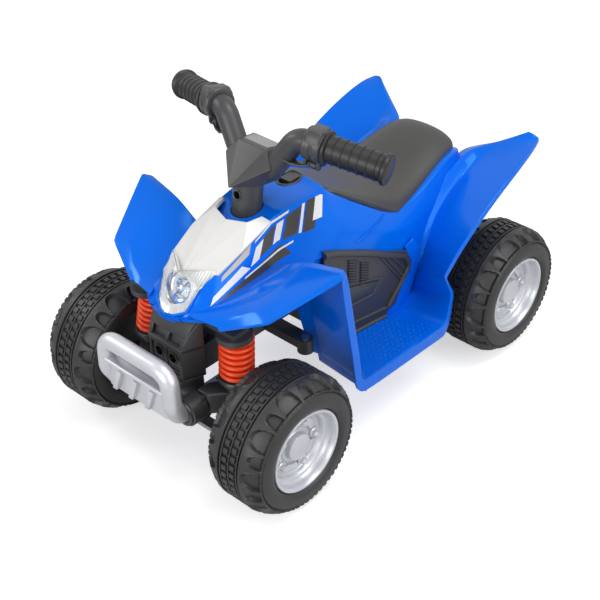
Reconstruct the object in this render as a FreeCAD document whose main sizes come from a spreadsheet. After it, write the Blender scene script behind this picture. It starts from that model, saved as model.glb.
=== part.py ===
import FreeCAD, Part
import math
import os
import Sketcher
from types import SimpleNamespace
from FreeCAD import Placement, Rotation, Vector

# Battery ride-on quad bike for small children, in millimetres.
# Front faces -Y, the rider's left is +X, Z is up, the floor is Z = 0.

SIZES = {
    # stance
    "wheel_radius": 96, "overall_width": 404, "kingpin_half": 79, "wheelbase": 452, "front_overhang": 104,
    # wheel moulding and its silver disc
    "tyre_wall": 5, "shoulder": 12, "disc_radius": 58, "disc_inset": 3, "disc_depth": 24, "disc_wall": 3,
    "disc_rim": 10, "cap_radius": 17, "cap_height": 12, "lug_circle": 33, "lug_radius": 4, "lug_height": 4,
    "lug_count": 5, "hub_radius": 15, "web_inset": 10, "tread_count": 10,
    "tread_depth": 5, "tread_reach": 20, "tread_gap": 30, "tread_turn": 14.5,
    # axles and steering knuckles
    "axle_radius": 6, "axle_nut_across": 9, "axle_nut_height": 7, "nut_gap": 1,
    "kingpin_offset": 29, "kingpin_radius": 6, "kingpin_tail": 6, "clip_radius": 9, "clip_height": 3,
    "knuckle_radius": 15, "knuckle_height": 28, "arm_length": 30, "arm_width": 16, "arm_height": 6,
    "tie_height": 6, "tie_pin_radius": 4, "tie_slot_play": 2, "tie_width": 16, "tie_play": 0.3,
    # front beam, sockets and grille block
    "beam_depth": 54, "beam_height": 34, "beam_half": 65, "beam_boss_radius": 17, "boss_rise": 4,
    "beam_nose_radius": 18, "beam_nose_reach": 44, "socket_half": 50, "socket_radius": 9,
    "socket_depth": 22,
    "grille_half": 42, "grille_front": 55, "grille_back": 17, "grille_height": 88, "grille_shoulder": 46,
    "grille_slope": 14, "grille_ledge": 67, "window_depth": 6, "window_height": 20, "window_width": 32,
    "window_gap": 6, "window_lift": 54,
    # decorative spring struts
    "spring_radius": 23, "spring_wire": 3.4, "spring_turns": 5, "spring_cup": 6, "spring_cap": 8,
    "strut_radius": 13, "strut_bore": 10.5, "strut_height": 72,
    # chassis
    "spine_half": 32, "spine_height": 36, "spine_lift": 2, "crossbar_height": 7,
    "crossbar_end": 13, "crossbar_depth": 28, "crossbar_post_half": 20, "tower_radius": 19,
    "tower_drop": 20, "outrigger_reach": 95, "outrigger_back": 110, "outrigger_width": 22,
    "outrigger_height": 12, "outrigger_boss": 11, "outrigger_drop": 8,
    "tray_wall": 4, "tray_drop": 26, "tray_front_half": 74, "tray_front_length": 112,
    "tray_front_height": 80,
    "tray_rear_half": 58, "tray_rear_length": 150, "tray_rear_height": 150, "tray_back": 118,
    # blue body
    "cowl_length": 528, "cowl_half": 95, "cowl_rise": 186, "cowl_lift": 48, "cowl_wall": 3,
    "nose_reach": 39,
    "fender_wall": 3.5, "fender_lip": 9, "front_fender_half": 183, "front_fender_sink": 20,
    "front_fender_front": 27, "front_fender_back": 114, "rear_fender_half": 166, "rear_fender_sink": 26,
    "rear_fender_front": 140, "rear_fender_back": 86, "foot_half": 167, "foot_wall": 4, "floor_lift": 4,
    "foot_front": 146, "foot_back": 126, "foot_skew": 10, "wall_sink": 10, "wall_lean": 44, "heel_rise": 79,
    "heel_lean": 12, "heel_skew": 17, "pan_depth": 1, "pan_margin": 14, "panel_wall": 5,
    "panel_tuck": 4, "panel_front": 164,
    "panel_length": 146,
    # nose trim and headlamp
    "plate_wall": 4, "plate_tip_half": 8, "plate_notch": 34, "lens_wall": 3, "lamp_radius": 18,
    "lamp_depth": 18, "lamp_recess": 3, "dish_radius": 20, "bulb_radius": 4, "bulb_length": 9,
    # seat
    "seat_length": 234, "seat_half": 78, "seat_rise": 63, "seat_front": 246, "seat_sink": 15.3,
    # steering column and handlebar
    "column_tilt": 8, "column_back": 108, "column_sink": 8, "column_radius": 8, "column_top": 58,
    "crank_width": 18, "crank_height": 7, "crank_gap": 3, "stem_radius": 23, "stem_height": 34,
    "stem_drop": 14,
    "stem_play": 1.5, "stem_bolt_radius": 4, "stem_bolt_level": 18, "bush_radius": 13, "bush_length": 18,
    "bush_flange": 2, "pod_half": 44, "pod_height": 46, "pod_reach": 34, "dash_wall": 2,
    "bar_radius": 14.5, "bar_half": 172, "bar_bend_out": 62, "bar_bend_in": 24, "bar_low": 50,
    "bar_high": 106,
    "bar_end_high": 95, "bar_sweep": 51, "bar_bend_sweep": 15, "bar_bend_radius": 20, "bar_root_radius": 18,
    "grip_radius": 17.5, "grip_flange": 22, "grip_flange_height": 5, "grip_end": 3, "grip_rib_count": 7,
    "grip_rib_depth": 1.5, "grip_groove": 2.5, "collar_radius": 20, "collar_start": 13, "collar_length": 23,
    "ear_drop": 26, "ear_width": 14, "ear_wall": 4, "lever_radius": 5, "lever_length": 24, "lever_wall": 4,
    "lever_pin_radius": 2, "seat_play": 0.2,
    # switch, battery, drive
    "switch_back": 189, "switch_length": 32, "switch_half": 12, "switch_height": 14, "switch_rim": 3,
    "switch_floor": 2, "switch_proud": 1.55, "rocker_pin_radius": 1.5, "rocker_play": 1, "rocker_height": 7,
    "rocker_drop": 4, "battery_length": 90, "battery_width": 66, "battery_height": 68, "battery_edge": 4,
    "motor_radius": 18, "motor_length": 62, "motor_ahead": 46, "motor_rise": 12, "gearbox_width": 34,
    "gearbox_ahead": 74, "gearbox_behind": 26, "gearbox_height": 60, "gearbox_edge": 6, "dog_radius": 20,
    "spacer_radius": 11, "jack_radius": 6, "jack_bore": 2.8, "jack_length": 18, "jack_flange": 9,
    "jack_flange_height": 2, "jack_floor": 3, "jack_side": 34, "jack_rise": 40,
    "screw_radius": 2.5, "screw_head": 6, "screw_length": 14, "screw_head_height": 2.5,
    # bumper
    "bumper_tube": 12, "bumper_half": 58, "bumper_rise": 96, "bumper_low": 16, "bumper_shoulder": 26,
    "bumper_corner": 14, "bumper_plate_wall": 8, "bumper_plate_low": 28, "bumper_plate_height": 42,
    "bumper_plate_half": 50, "peg_radius": 8.9, "peg_length": 21,
    # fits
    "run_clearance": 0.05, "face_play": 0.3, "overrun": 2,
}

doc = FreeCAD.newDocument("quad_bike")
sheet = doc.addObject("Spreadsheet::Sheet", "Sizes")
for row, (alias, number) in enumerate(SIZES.items(), start=1):
    sheet.set(f"A{row}", alias)
    sheet.set(f"B{row}", str(number))
    sheet.setAlias(f"B{row}", alias)
doc.recompute()


class Size:
    """A value that keeps its number and the spreadsheet formula behind it."""

    def __init__(self, number, formula):
        self.number = float(number)
        self.formula = formula

    def __float__(self):
        return self.number

    def __add__(self, other):
        return Size(self.number + float(other), f"({self.formula} + {formula_of(other)})")

    def __sub__(self, other):
        return Size(self.number - float(other), f"({self.formula} - {formula_of(other)})")

    def __mul__(self, other):
        return Size(self.number * float(other), f"({self.formula} * {formula_of(other)})")

    def __truediv__(self, other):
        return Size(self.number / float(other), f"({self.formula} / {formula_of(other)})")

    def __neg__(self):
        return Size(-self.number, f"(-{self.formula})")

    __rmul__ = __mul__


def formula_of(value):
    return value.formula if isinstance(value, Size) else repr(float(value))


size = SimpleNamespace(**{alias: Size(sheet.get(alias), f"Sizes.{alias}") for alias in SIZES})
ZERO = Size(0, "0")
PARTS = []
SIDES = {"left": 1, "right": -1}
TO_X = Rotation(Vector(0, 1, 0), 90)
TO_Y = Rotation(Vector(1, 0, 0), -90)
UPRIGHT = Rotation()


def bind(item, **values):
    for name, value in values.items():
        item.setExpression(name, formula_of(value))
    return item


def place(item, spot, turn=UPRIGHT):
    item.Placement = Placement(Vector(), turn)
    for axis, value in zip("xyz", spot):
        item.setExpression(f"Placement.Base.{axis}", formula_of(value))
    return item


def box(name, low, lengths, turn=UPRIGHT):
    item = doc.addObject("Part::Box", name)
    bind(item, Length=lengths[0], Width=lengths[1], Height=lengths[2])
    return place(item, low, turn)


def rod(name, radius, length, start, turn=UPRIGHT):
    item = doc.addObject("Part::Cylinder", name)
    bind(item, Radius=radius, Height=length)
    return place(item, start, turn)


def nut(name, across, height, start, turn=UPRIGHT):
    item = doc.addObject("Part::Prism", name)
    item.Polygon = 6
    bind(item, Circumradius=across, Height=height)
    return place(item, start, turn)


def joined(name, pieces):
    item = doc.addObject("Part::MultiFuse", name)
    item.Shapes = pieces
    return item


def cut(name, base, tools):
    item = doc.addObject("Part::Cut", name)
    item.Base = base
    item.Tool = tools[0] if len(tools) == 1 else joined(f"{name}_tools", tools)
    return item


def feature(name, shape):
    item = doc.addObject("Part::Feature", name)
    item.Shape = shape
    item.Placement = Placement()
    return item


def placed(name, source, placement):
    item = doc.addObject("Part::Compound", name)
    item.Links = source if isinstance(source, list) else [source]
    item.Placement = placement
    return item


def mirrored(name, source):
    item = doc.addObject("Part::Mirroring", name)
    item.Source = source
    item.Normal = Vector(1, 0, 0)
    item.Base = Vector(0, 0, 0)
    return item


def part(label, item):
    item.Label = label
    PARTS.append(item)
    return item


def pair(label, left):
    part(f"{label}_left", left)
    part(f"{label}_right", mirrored(f"{label}_mirror", left))


def body_with_sketch(name, plane):
    body = doc.addObject("PartDesign::Body", name)
    return body, add_sketch(body, f"{name}_outline", plane)


def add_sketch(body, name, plane, lift=None):
    sketch = body.newObject("Sketcher::SketchObject", name)
    support = next(item for item in body.Origin.OriginFeatures if item.Role == plane)
    sketch.AttachmentSupport = [(support, "")]
    sketch.MapMode = "FlatFace"
    if lift is not None:
        sketch.setExpression("AttachmentOffset.Base.z", formula_of(lift))
    return sketch


def outline(sketch, corners):
    """Closed straight-sided outline whose every corner is bound to the sheet."""
    spots = [Vector(float(u), float(v), 0) for u, v in corners]
    for start, end in zip(spots, spots[1:] + spots[:1]):
        sketch.addGeometry(Part.LineSegment(start, end))
    for index, corner in enumerate(corners):
        sketch.addConstraint(Sketcher.Constraint("Coincident", index, 2, (index + 1) % len(corners), 1))
        for kind, axis, value in zip(("DistanceX", "DistanceY"), (-2, -1), corner):
            if float(value) == 0:
                sketch.addConstraint(Sketcher.Constraint("PointOnObject", index, 1, axis))
            else:
                number = sketch.addConstraint(Sketcher.Constraint(kind, -1, 1, index, 1, float(value)))
                sketch.setExpression(f"Constraints[{number}]", formula_of(value))


def circle(sketch, radius, offset):
    """Circle centred on the sketch's X axis, bound to the sheet."""
    ring = sketch.addGeometry(Part.Circle(Vector(float(offset), 0, 0), Vector(0, 0, 1), float(radius)))
    sketch.addConstraint(Sketcher.Constraint("PointOnObject", ring, 3, -1))
    for constraint, value in (
        (Sketcher.Constraint("DistanceX", -1, 1, ring, 3, float(offset)), offset),
        (Sketcher.Constraint("Radius", ring, float(radius)), radius),
    ):
        number = sketch.addConstraint(constraint)
        sketch.setExpression(f"Constraints[{number}]", formula_of(value))


def revolved(body, sketch, name, axis="V_Axis"):
    turn = body.newObject("PartDesign::Revolution", name)
    turn.Profile = sketch
    turn.ReferenceAxis = (sketch, [axis])
    turn.Angle = 360
    sketch.Visibility = False
    return turn


def padded(body, sketch, name, length, both_ways=False):
    pad = body.newObject("PartDesign::Pad", name)
    pad.Profile = sketch
    pad.Midplane = both_ways
    bind(pad, Length=length)
    return pad


def pocketed(body, sketch, name, depth, reverse):
    pocket = body.newObject("PartDesign::Pocket", name)
    pocket.Profile = sketch
    pocket.Reversed = reverse
    bind(pocket, Length=depth)
    return pocket


def polar(body, source, name, count):
    pattern = body.newObject("PartDesign::PolarPattern", name)
    pattern.Originals = [source]
    axis = next(item for item in body.Origin.OriginFeatures if item.Role == "Z_Axis")
    pattern.Axis = (axis, [""])
    pattern.Angle = 360
    bind(pattern, Occurrences=count)
    body.Tip = pattern
    return pattern


def ruled_solid(sections):
    """Straight-sided skin through closed sections with equal corner counts."""
    wires = [Part.makePolygon(points + points[:1]) for points in sections]
    return Part.makeLoft(wires, True, True)


def thickened(points, wall):
    """Closed band of even wall below a left-to-right open line of (u, v) points."""
    lower = []
    for index, (u, v) in enumerate(points):
        before = points[max(index - 1, 0)]
        after = points[min(index + 1, len(points) - 1)]
        first = direction(before, (u, v)) if index else direction((u, v), after)
        second = direction((u, v), after) if index < len(points) - 1 else first
        normal = (first[1] + second[1], -first[0] - second[0])
        reach = normal[0] * first[1] - normal[1] * first[0]
        lower.append((u + normal[0] * wall / reach, v + normal[1] * wall / reach))
    return list(points) + lower[::-1]


def direction(start, end):
    length = math.hypot(end[0] - start[0], end[1] - start[1])
    return (end[0] - start[0]) / length, (end[1] - start[1]) / length


def rounded_path(points, radii):
    """Straight runs joined by tangent arcs, one radius for each inner point."""
    edges = []
    start = points[0]
    for before, corner, after, radius in zip(points, points[1:], points[2:], radii):
        come = (before - corner).normalize()
        leave = (after - corner).normalize()
        half_turn = (math.pi - come.getAngle(leave)) / 2
        reach = radius * math.tan(half_turn)
        first = corner + come * reach
        last = corner + leave * reach
        inward = (come + leave).normalize()
        middle = corner + inward * (radius / math.cos(half_turn) - radius)
        edges.append(Part.LineSegment(start, first).toShape())
        edges.append(Part.Arc(first, middle, last).toShape())
        start = last
    edges.append(Part.LineSegment(start, points[-1]).toShape())
    return Part.Wire(edges)


def tube(path, radius):
    start = path.Edges[0].firstVertex().Point
    heading = path.Edges[0].tangentAt(path.Edges[0].FirstParameter)
    ring = Part.Wire(Part.Circle(start, heading, radius).toShape())
    return path.makePipeShell([ring], True, False)


# Shared places

axle_z = size.wheel_radius
tyre_out = size.overall_width / 2
kingpin_x = size.kingpin_half
tyre_in = kingpin_x + size.kingpin_offset
tyre_width = tyre_out - tyre_in
front_y = size.front_overhang - (size.wheelbase + size.front_overhang + size.wheel_radius) / 2
rear_y = front_y + size.wheelbase
knuckle_low = axle_z - size.knuckle_height / 2
beam_low = axle_z + size.knuckle_height / 2 + size.face_play
beam_top = beam_low + size.beam_height
boss_top = beam_top + size.boss_rise
strut_top = boss_top + size.strut_height
tie_low = knuckle_low - size.face_play - size.tie_height
spine_low = beam_top + size.spine_lift
spine_top = spine_low + size.spine_height
tray_low = axle_z - size.tray_drop
floor_z = axle_z + size.floor_lift
cowl_low = axle_z + size.cowl_lift
nose_y = front_y - size.nose_reach
column_y = front_y + size.column_back
column_z = cowl_low + size.cowl_rise - size.column_sink
tray_front_y = rear_y - size.tray_back - size.tray_front_length
tray_rear_y = rear_y - size.tray_back
hub_bore = size.axle_radius + size.run_clearance
disc_seat = size.disc_radius + size.seat_play
disc_lip = tyre_width - size.disc_inset
disc_face = disc_lip - size.disc_depth
hub_end = disc_face - size.disc_wall - size.axle_nut_height - size.nut_gap
axle_end = tyre_in + hub_end + size.axle_nut_height + size.nut_gap * 2
front_fender_rise = size.cowl_lift + size.cowl_rise - size.front_fender_sink
rear_fender_rise = size.cowl_lift + size.cowl_rise - size.rear_fender_sink
wall_rise = front_fender_rise - size.floor_lift - size.wall_sink


def wheel_moulding():
    """Black hollow wheel: closed inner web, tread, outer wall and a hub tube, about local Z."""
    body, sketch = body_with_sketch("wheel_moulding", "XZ_Plane")
    crown = size.wheel_radius
    wall = size.tyre_wall
    web = size.web_inset
    corners = [
        (hub_bore, web), (disc_seat, web), (crown - size.shoulder * 2, ZERO), (crown - size.shoulder, ZERO),
        (crown, size.shoulder), (crown, tyre_width - size.shoulder),
        (crown - size.shoulder, tyre_width), (disc_seat + wall, tyre_width),
        (disc_seat, tyre_width - wall), (disc_seat, tyre_width - size.disc_rim - wall),
        (disc_seat + wall, tyre_width - size.disc_rim - wall),
        (disc_seat + wall * 2, tyre_width - wall * 2), (crown - size.shoulder - wall, tyre_width - wall),
        (crown - wall * 2, tyre_width - size.shoulder - wall), (crown - wall * 2, size.shoulder + wall),
        (crown - size.shoulder - wall, wall * 2), (disc_seat, web + wall),
        (size.hub_radius, web + wall), (size.hub_radius, hub_end), (hub_bore, hub_end),
    ]
    outline(sketch, corners)
    revolved(body, sketch, "wheel_turned")
    for name, lift, reverse in (("outer", tyre_width, False), ("inner", ZERO, True)):
        notch = add_sketch(body, f"tread_{name}", "XY_Plane", lift)
        reach = crown - size.tread_depth
        half = size.tread_gap / 2
        outline(notch, [(reach, -half), (crown + size.overrun, -half), (crown + size.overrun, half),
                        (reach, half)])
        doc.recompute()
        polar(body, pocketed(body, notch, f"notch_{name}", size.tread_reach, reverse), f"tread_ring_{name}",
              size.tread_count)
    return body


def wheel_disc():
    """Silver dished disc with a raised centre cap and moulded lug heads, about local Z."""
    body, sketch = body_with_sketch("wheel_disc", "XZ_Plane")
    lip = disc_lip
    face = disc_face
    wall = size.disc_wall
    cap = size.cap_radius
    rim = size.disc_radius
    outline(sketch, [
        (ZERO, face + size.cap_height - wall), (cap - wall, face + size.cap_height - wall),
        (cap - wall, face - wall),
        (rim - size.disc_rim, face - wall), (rim - wall, lip - size.disc_rim), (rim, lip - size.disc_rim),
        (rim, lip), (rim - wall, lip), (rim - size.disc_rim, face + wall),
        (rim - size.disc_rim * 1.5, face),
        (cap, face), (cap, face + size.cap_height), (ZERO, face + size.cap_height),
    ])
    revolved(body, sketch, "disc_turned")
    lug = add_sketch(body, "lug_outline", "XY_Plane", face)
    circle(lug, size.lug_radius, size.lug_circle)
    doc.recompute()
    polar(body, padded(body, lug, "lug_head", size.lug_height), "lug_ring", size.lug_count)
    return body


def wheels():
    moulding = wheel_moulding()
    disc = wheel_disc()
    for end, y in (("front", front_y), ("rear", rear_y)):
        for side, sign in SIDES.items():
            spot = Placement(Vector(sign * float(tyre_in), float(y), float(axle_z)),
                             Rotation(Vector(0, 1, 0), 90 * sign))
            turn = Placement(Vector(), Rotation(Vector(0, 0, 1), float(size.tread_turn) * sign))
            part(f"{end}_wheel_{side}", placed(f"{end}_wheel_{side}", moulding, spot * turn))
            part(f"{end}_disc_{side}", placed(f"{end}_disc_{side}", disc, spot))


def knuckles():
    """Steel stub axle, kingpin and steering arm in one forging, with nut and clip."""
    arm_low = knuckle_low
    pin_low = tie_low - size.face_play
    pieces = [
        rod("knuckle_hub", size.knuckle_radius, size.knuckle_height, (kingpin_x, front_y, knuckle_low)),
        rod("kingpin", size.kingpin_radius, boss_top + size.kingpin_tail - axle_z,
            (kingpin_x, front_y, axle_z)),
        rod("stub_axle", size.axle_radius, axle_end - kingpin_x, (kingpin_x, front_y, axle_z), TO_X),
        rod("axle_shoulder", size.spacer_radius, tyre_in + size.web_inset - size.face_play - kingpin_x,
            (kingpin_x, front_y, axle_z), TO_X),
        box("steering_arm", (kingpin_x - size.arm_width / 2, front_y - size.arm_length, arm_low),
            (size.arm_width, size.arm_length, size.arm_height)),
        rod("arm_end", size.arm_width / 2, size.arm_height,
            (kingpin_x, front_y - size.arm_length, arm_low)),
        rod("tie_pin", size.tie_pin_radius, arm_low - pin_low + size.arm_height,
            (kingpin_x, front_y - size.arm_length, pin_low)),
    ]
    pair("knuckle", joined("knuckle_forging", pieces))
    ring = rod("clip_ring", size.clip_radius, size.clip_height,
               (kingpin_x, front_y, boss_top + size.face_play))
    hole = rod("clip_hole", size.kingpin_radius, size.clip_height + size.overrun * 2,
               (kingpin_x, front_y, boss_top - size.overrun))
    pair("kingpin_clip", cut("kingpin_clip", ring, [hole]))
    pair("front_axle_nut", axle_nut("front_axle_nut", front_y))


def axle_nut(name, y):
    start = tyre_in + hub_end + size.nut_gap
    blank = nut(f"{name}_blank", size.axle_nut_across, size.axle_nut_height, (start, y, axle_z), TO_X)
    hole = rod(f"{name}_hole", size.axle_radius, size.axle_nut_height + size.overrun * 2,
               (start - size.overrun, y, axle_z), TO_X)
    return cut(name, blank, [hole])


def tie_rod():
    """Flat link: a cross bar between the two steering arms with a tongue back to the crank."""
    bar_y = front_y - size.arm_length
    slot = size.tie_pin_radius + size.tie_play
    tongue_end = crank_y() + size.tie_slot_play * 2 + size.tie_pin_radius * 2
    blanks = [
        box("tie_bar", (-kingpin_x, bar_y - size.tie_width / 2, tie_low),
            (kingpin_x * 2, size.tie_width, size.tie_height)),
        box("tie_tongue", (-size.tie_width / 2, bar_y, tie_low),
            (size.tie_width, tongue_end - bar_y, size.tie_height)),
    ]
    slots = []
    for name, x, y in (("left", kingpin_x, bar_y), ("right", -kingpin_x, bar_y),
                       ("crank", ZERO, crank_y())):
        if name != "crank":
            blanks.append(rod(f"tie_eye_{name}", size.tie_width / 2, size.tie_height, (x, y, tie_low)))
        slots.append(box(f"tie_slot_{name}", (x - slot, y - slot - size.tie_slot_play,
                                              tie_low - size.overrun),
                         (slot * 2, (slot + size.tie_slot_play) * 2, size.tie_height + size.overrun * 2)))
    part("tie_rod", cut("tie_rod", joined("tie_rod_blank", blanks), slots))


def trig(name):
    angle = math.radians(float(size.column_tilt))
    return Size(getattr(math, name)(angle), f"{name}(Sizes.column_tilt * 1 deg)")


def spread(*runs):
    """Straight distance across runs along the three axes."""
    return Size(math.hypot(*[float(run) for run in runs]),
                f"hypot({'; '.join(formula_of(run) for run in runs)})")


def crank_level():
    """Distance below the column's base, along the column, of the crank pin's middle."""
    drop = column_z - tie_low - size.tie_height / 2 + size.arm_length * trig("sin")
    return drop / trig("cos")


def crank_y():
    return column_y - size.arm_length * trig("cos") - crank_level() * trig("sin")


def front_beam():
    """Front cross beam with kingpin bosses and sockets for the bumper's pegs."""
    nose_axis = front_y - size.beam_nose_reach
    blanks = [
        box("beam_block", (-size.beam_half, nose_axis, beam_low),
            (size.beam_half * 2, size.beam_nose_reach + size.beam_depth / 2, size.beam_height)),
        rod("beam_nose", size.beam_nose_radius, size.beam_half * 2,
            (-size.beam_half, nose_axis, socket_z()), TO_X),
    ]
    holes = []
    for side, sign in SIDES.items():
        x = kingpin_x * sign
        arm_x = size.socket_half if sign > 0 else -kingpin_x
        arm_half = size.beam_boss_radius * 0.8
        blanks.append(box(f"beam_arm_{side}", (arm_x, front_y - arm_half, beam_low),
                          (kingpin_x - size.socket_half, arm_half * 2, size.beam_height / 2)))
        blanks.append(rod(f"beam_boss_{side}", size.beam_boss_radius, boss_top - beam_low,
                          (x, front_y, beam_low)))
        holes.append(rod(f"kingpin_bore_{side}", size.kingpin_radius + size.run_clearance,
                         boss_top - beam_low + size.overrun * 2, (x, front_y, beam_low - size.overrun)))
        holes.append(rod(f"socket_{side}", size.socket_radius, size.socket_depth + size.overrun,
                         (size.socket_half * sign, nose_axis - size.beam_nose_radius - size.overrun,
                          socket_z()), TO_Y))
    part("front_beam", cut("front_beam", joined("front_beam_blank", blanks), holes))


def socket_z():
    return beam_low + size.beam_nose_radius / 3


def bumper():
    """Silver hoop with pegs into the beam and a ribbed plate below the top bar."""
    socket_y = float(front_y - size.beam_nose_reach - size.beam_nose_radius)
    face_y = float(front_y - size.front_overhang + size.bumper_tube)
    low_z = float(socket_z())
    top_z = low_z + float(size.bumper_rise) - float(size.bumper_tube) - float(size.bumper_low) / 4
    half = float(size.bumper_half)
    leg = float(size.socket_half)
    points = [Vector(leg, socket_y, low_z), Vector(leg, face_y + float(size.bumper_low) / 2, low_z),
              Vector(half, face_y, top_z)]
    points = points + [Vector(-spot.x, spot.y, spot.z) for spot in reversed(points)]
    corner = float(size.bumper_corner)
    shoulder = float(size.bumper_shoulder)
    hoop = tube(rounded_path(points, [corner, shoulder, shoulder, corner]), float(size.bumper_tube))
    hoop_item = feature("bumper_hoop", hoop)
    plate = box("bumper_plate", (-size.bumper_plate_half,
                                 front_y - size.front_overhang + size.bumper_plate_wall,
                                 socket_z() + size.bumper_plate_low - size.bumper_low),
                (size.bumper_plate_half * 2, size.bumper_plate_wall, size.bumper_plate_height))
    pegs = []
    for side, sign in SIDES.items():
        pegs.append(rod(f"bumper_peg_{side}", size.peg_radius, size.peg_length,
                        (size.socket_half * sign, front_y - size.beam_nose_reach - size.beam_nose_radius,
                         socket_z()), TO_Y))
    part("bumper", joined("bumper", [hoop_item, plate] + pegs))


def struts():
    """Decorative shock absorbers: cup with inner tube, coil and top cap."""
    spot = (kingpin_x, front_y, boss_top)
    cup = joined("strut_blank", [
        rod("strut_cup", size.spring_radius, size.spring_cup, spot),
        rod("strut_tube", size.strut_radius, size.strut_height - size.spring_cap, spot),
    ])
    bore = rod("strut_hole", size.strut_bore, size.strut_height,
               (kingpin_x, front_y, boss_top - size.overrun))
    pair("strut", cut("strut", cup, [bore]))
    wire = float(size.spring_wire)
    coil_radius = float(size.spring_radius) - wire
    turns = int(float(size.spring_turns))
    room = float(size.strut_height - size.spring_cap - size.spring_cup)
    climb = room - 2 * wire - 2 * float(size.face_play)
    coil = feature("coil", spring_shape(coil_radius, wire, turns, climb))
    low = float(boss_top + size.spring_cup + size.face_play) + wire
    for side, sign in SIDES.items():
        spot = Placement(Vector(sign * float(kingpin_x), float(front_y), low), Rotation())
        part(f"spring_{side}", placed(f"spring_{side}", coil, spot))


def spring_shape(coil_radius, wire, turns, climb):
    """One unbroken round wire along a helix made of biarcs, two arcs to each quarter turn."""
    quarters = 4 * turns
    stations = []
    for index in range(quarters + 1):
        angle = index * math.pi / 2
        spot = Vector(coil_radius * math.cos(angle), coil_radius * math.sin(angle),
                      climb * index / quarters)
        rise = climb / (quarters * math.pi / 2)
        heading = Vector(-coil_radius * math.sin(angle), coil_radius * math.cos(angle), rise).normalize()
        stations.append((spot, heading))
    edges = []
    for (start, leave), (end, arrive) in zip(stations, stations[1:]):
        edges.extend(biarc(start, leave, end, arrive))
    gap = climb / turns * coil_radius / math.hypot(coil_radius, climb / (turns * 2 * math.pi)) - 2 * wire
    print(f"spring: least gap between turns {gap:.2f} mm")
    return tube(Part.Wire(edges), wire)


def biarc(start, leave, end, arrive):
    reach = end - start
    both = leave + arrive
    share = 2 * (1 - leave.dot(arrive))
    along = reach.dot(both)
    arm = (math.sqrt(along * along + share * reach.dot(reach)) - along) / share
    first = start + leave * arm
    second = end - arrive * arm
    meet = (first + second) * 0.5
    return [arc_by_corner(start, first, meet), arc_by_corner(meet, second, end)]


def arc_by_corner(start, corner, end):
    middle = (start + end) * 0.5
    half = (end - start).Length / 2
    arm = (corner - start).Length
    height = (corner - middle).Length
    radius = half * arm / height
    return Part.Arc(start, middle + (corner - middle) * (radius * (1 - half / arm) / height), end).toShape()


# Blue body. Each table row is a station along the length with half-section corners from the
# lower edge up to the ridge, as shares of the length, half width and rise.

COWL_SHARES = [
    (0.000, [(0.22, 0.42), (0.24, 0.43), (0.18, 0.46), (0.10, 0.48), (0, 0.485)]),
    (0.025, [(0.53, 0.42), (0.53, 0.46), (0.42, 0.49), (0.25, 0.51), (0, 0.61)]),
    (0.053, [(0.62, 0.46), (0.55, 0.52), (0.44, 0.59), (0.33, 0.655), (0, 0.745)]),
    (0.104, [(0.65, 0.49), (0.59, 0.56), (0.50, 0.65), (0.40, 0.75), (0, 0.80)]),
    (0.273, [(0.70, 0.57), (0.66, 0.645), (0.57, 0.80), (0.46, 0.965), (0, 0.95)]),
    (0.381, [(0.78, 0.56), (0.70, 0.66), (0.60, 0.80), (0.48, 0.975), (0, 0.99)]),
    (0.437, [(0.83, 0.53), (0.74, 0.65), (0.63, 0.80), (0.50, 0.95), (0, 0.98)]),
    (0.517, [(0.87, 0.43), (0.80, 0.58), (0.66, 0.68), (0.48, 0.78), (0, 0.81)]),
    (0.608, [(0.93, 0.32), (0.86, 0.48), (0.76, 0.58), (0.64, 0.63), (0, 0.64)]),
    (0.684, [(0.99, 0.24), (0.94, 0.42), (0.86, 0.52), (0.76, 0.56), (0, 0.56)]),
    (0.816, [(0.92, 0.22), (0.88, 0.46), (0.84, 0.58), (0.78, 0.65), (0, 0.58)]),
    (0.939, [(0.76, 0.30), (0.73, 0.55), (0.69, 0.70), (0.64, 0.79), (0, 0.68)]),
    (1.000, [(0.62, 0.33), (0.60, 0.52), (0.57, 0.62), (0.53, 0.70), (0, 0.64)]),
]


def full_section(y, half):
    """Closed section in the plane at y from a right-hand half ending on the centre line."""
    other = [(-x, z) for x, z in reversed(half[:-1])]
    return [Vector(x, y, z) for x, z in half + other]


def cowl_half(shares, inset=0):
    half, rise, low = float(size.cowl_half), float(size.cowl_rise), float(cowl_low)
    points = []
    for x_share, z_share in shares:
        x = x_share * half
        points.append((x - inset if x_share else x, low + z_share * rise - inset))
    return points


def cowl_outer():
    length = float(size.cowl_length)
    return ruled_solid([full_section(float(nose_y) + share * length, cowl_half(shares))
                        for share, shares in COWL_SHARES])


def cowl_inner():
    length = float(size.cowl_length)
    wall = float(size.cowl_wall)
    below = float(size.cowl_rise)
    sections = []
    for share, shares in COWL_SHARES[2:]:
        half = cowl_half(shares, wall)
        half[0] = (half[0][0], half[0][1] - below)
        sections.append((float(nose_y) + share * length, half))
    sections[0] = (sections[0][0] + wall, sections[0][1])
    sections[-1] = (sections[-1][0] - wall, sections[-1][1])
    return ruled_solid([full_section(y, half) for y, half in sections])


FRONT_FENDER_SHARES = [
    # length share, then inner, crease and outer corners as shares of half width and rise above the axle
    (0.00, [(0.25, 0.63), (0.40, 0.645), (0.44, 0.65)]),
    (0.17, [(0.27, 0.69), (0.50, 0.70), (0.752, 0.775)]),
    (0.55, [(0.29, 0.745), (0.56, 0.785), (0.89, 0.90)]),
    (0.90, [(0.31, 0.785), (0.60, 0.84), (1.00, 1.00)]),
    (1.00, [(0.32, 0.79), (0.61, 0.85), (0.97, 0.985)]),
]

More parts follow.
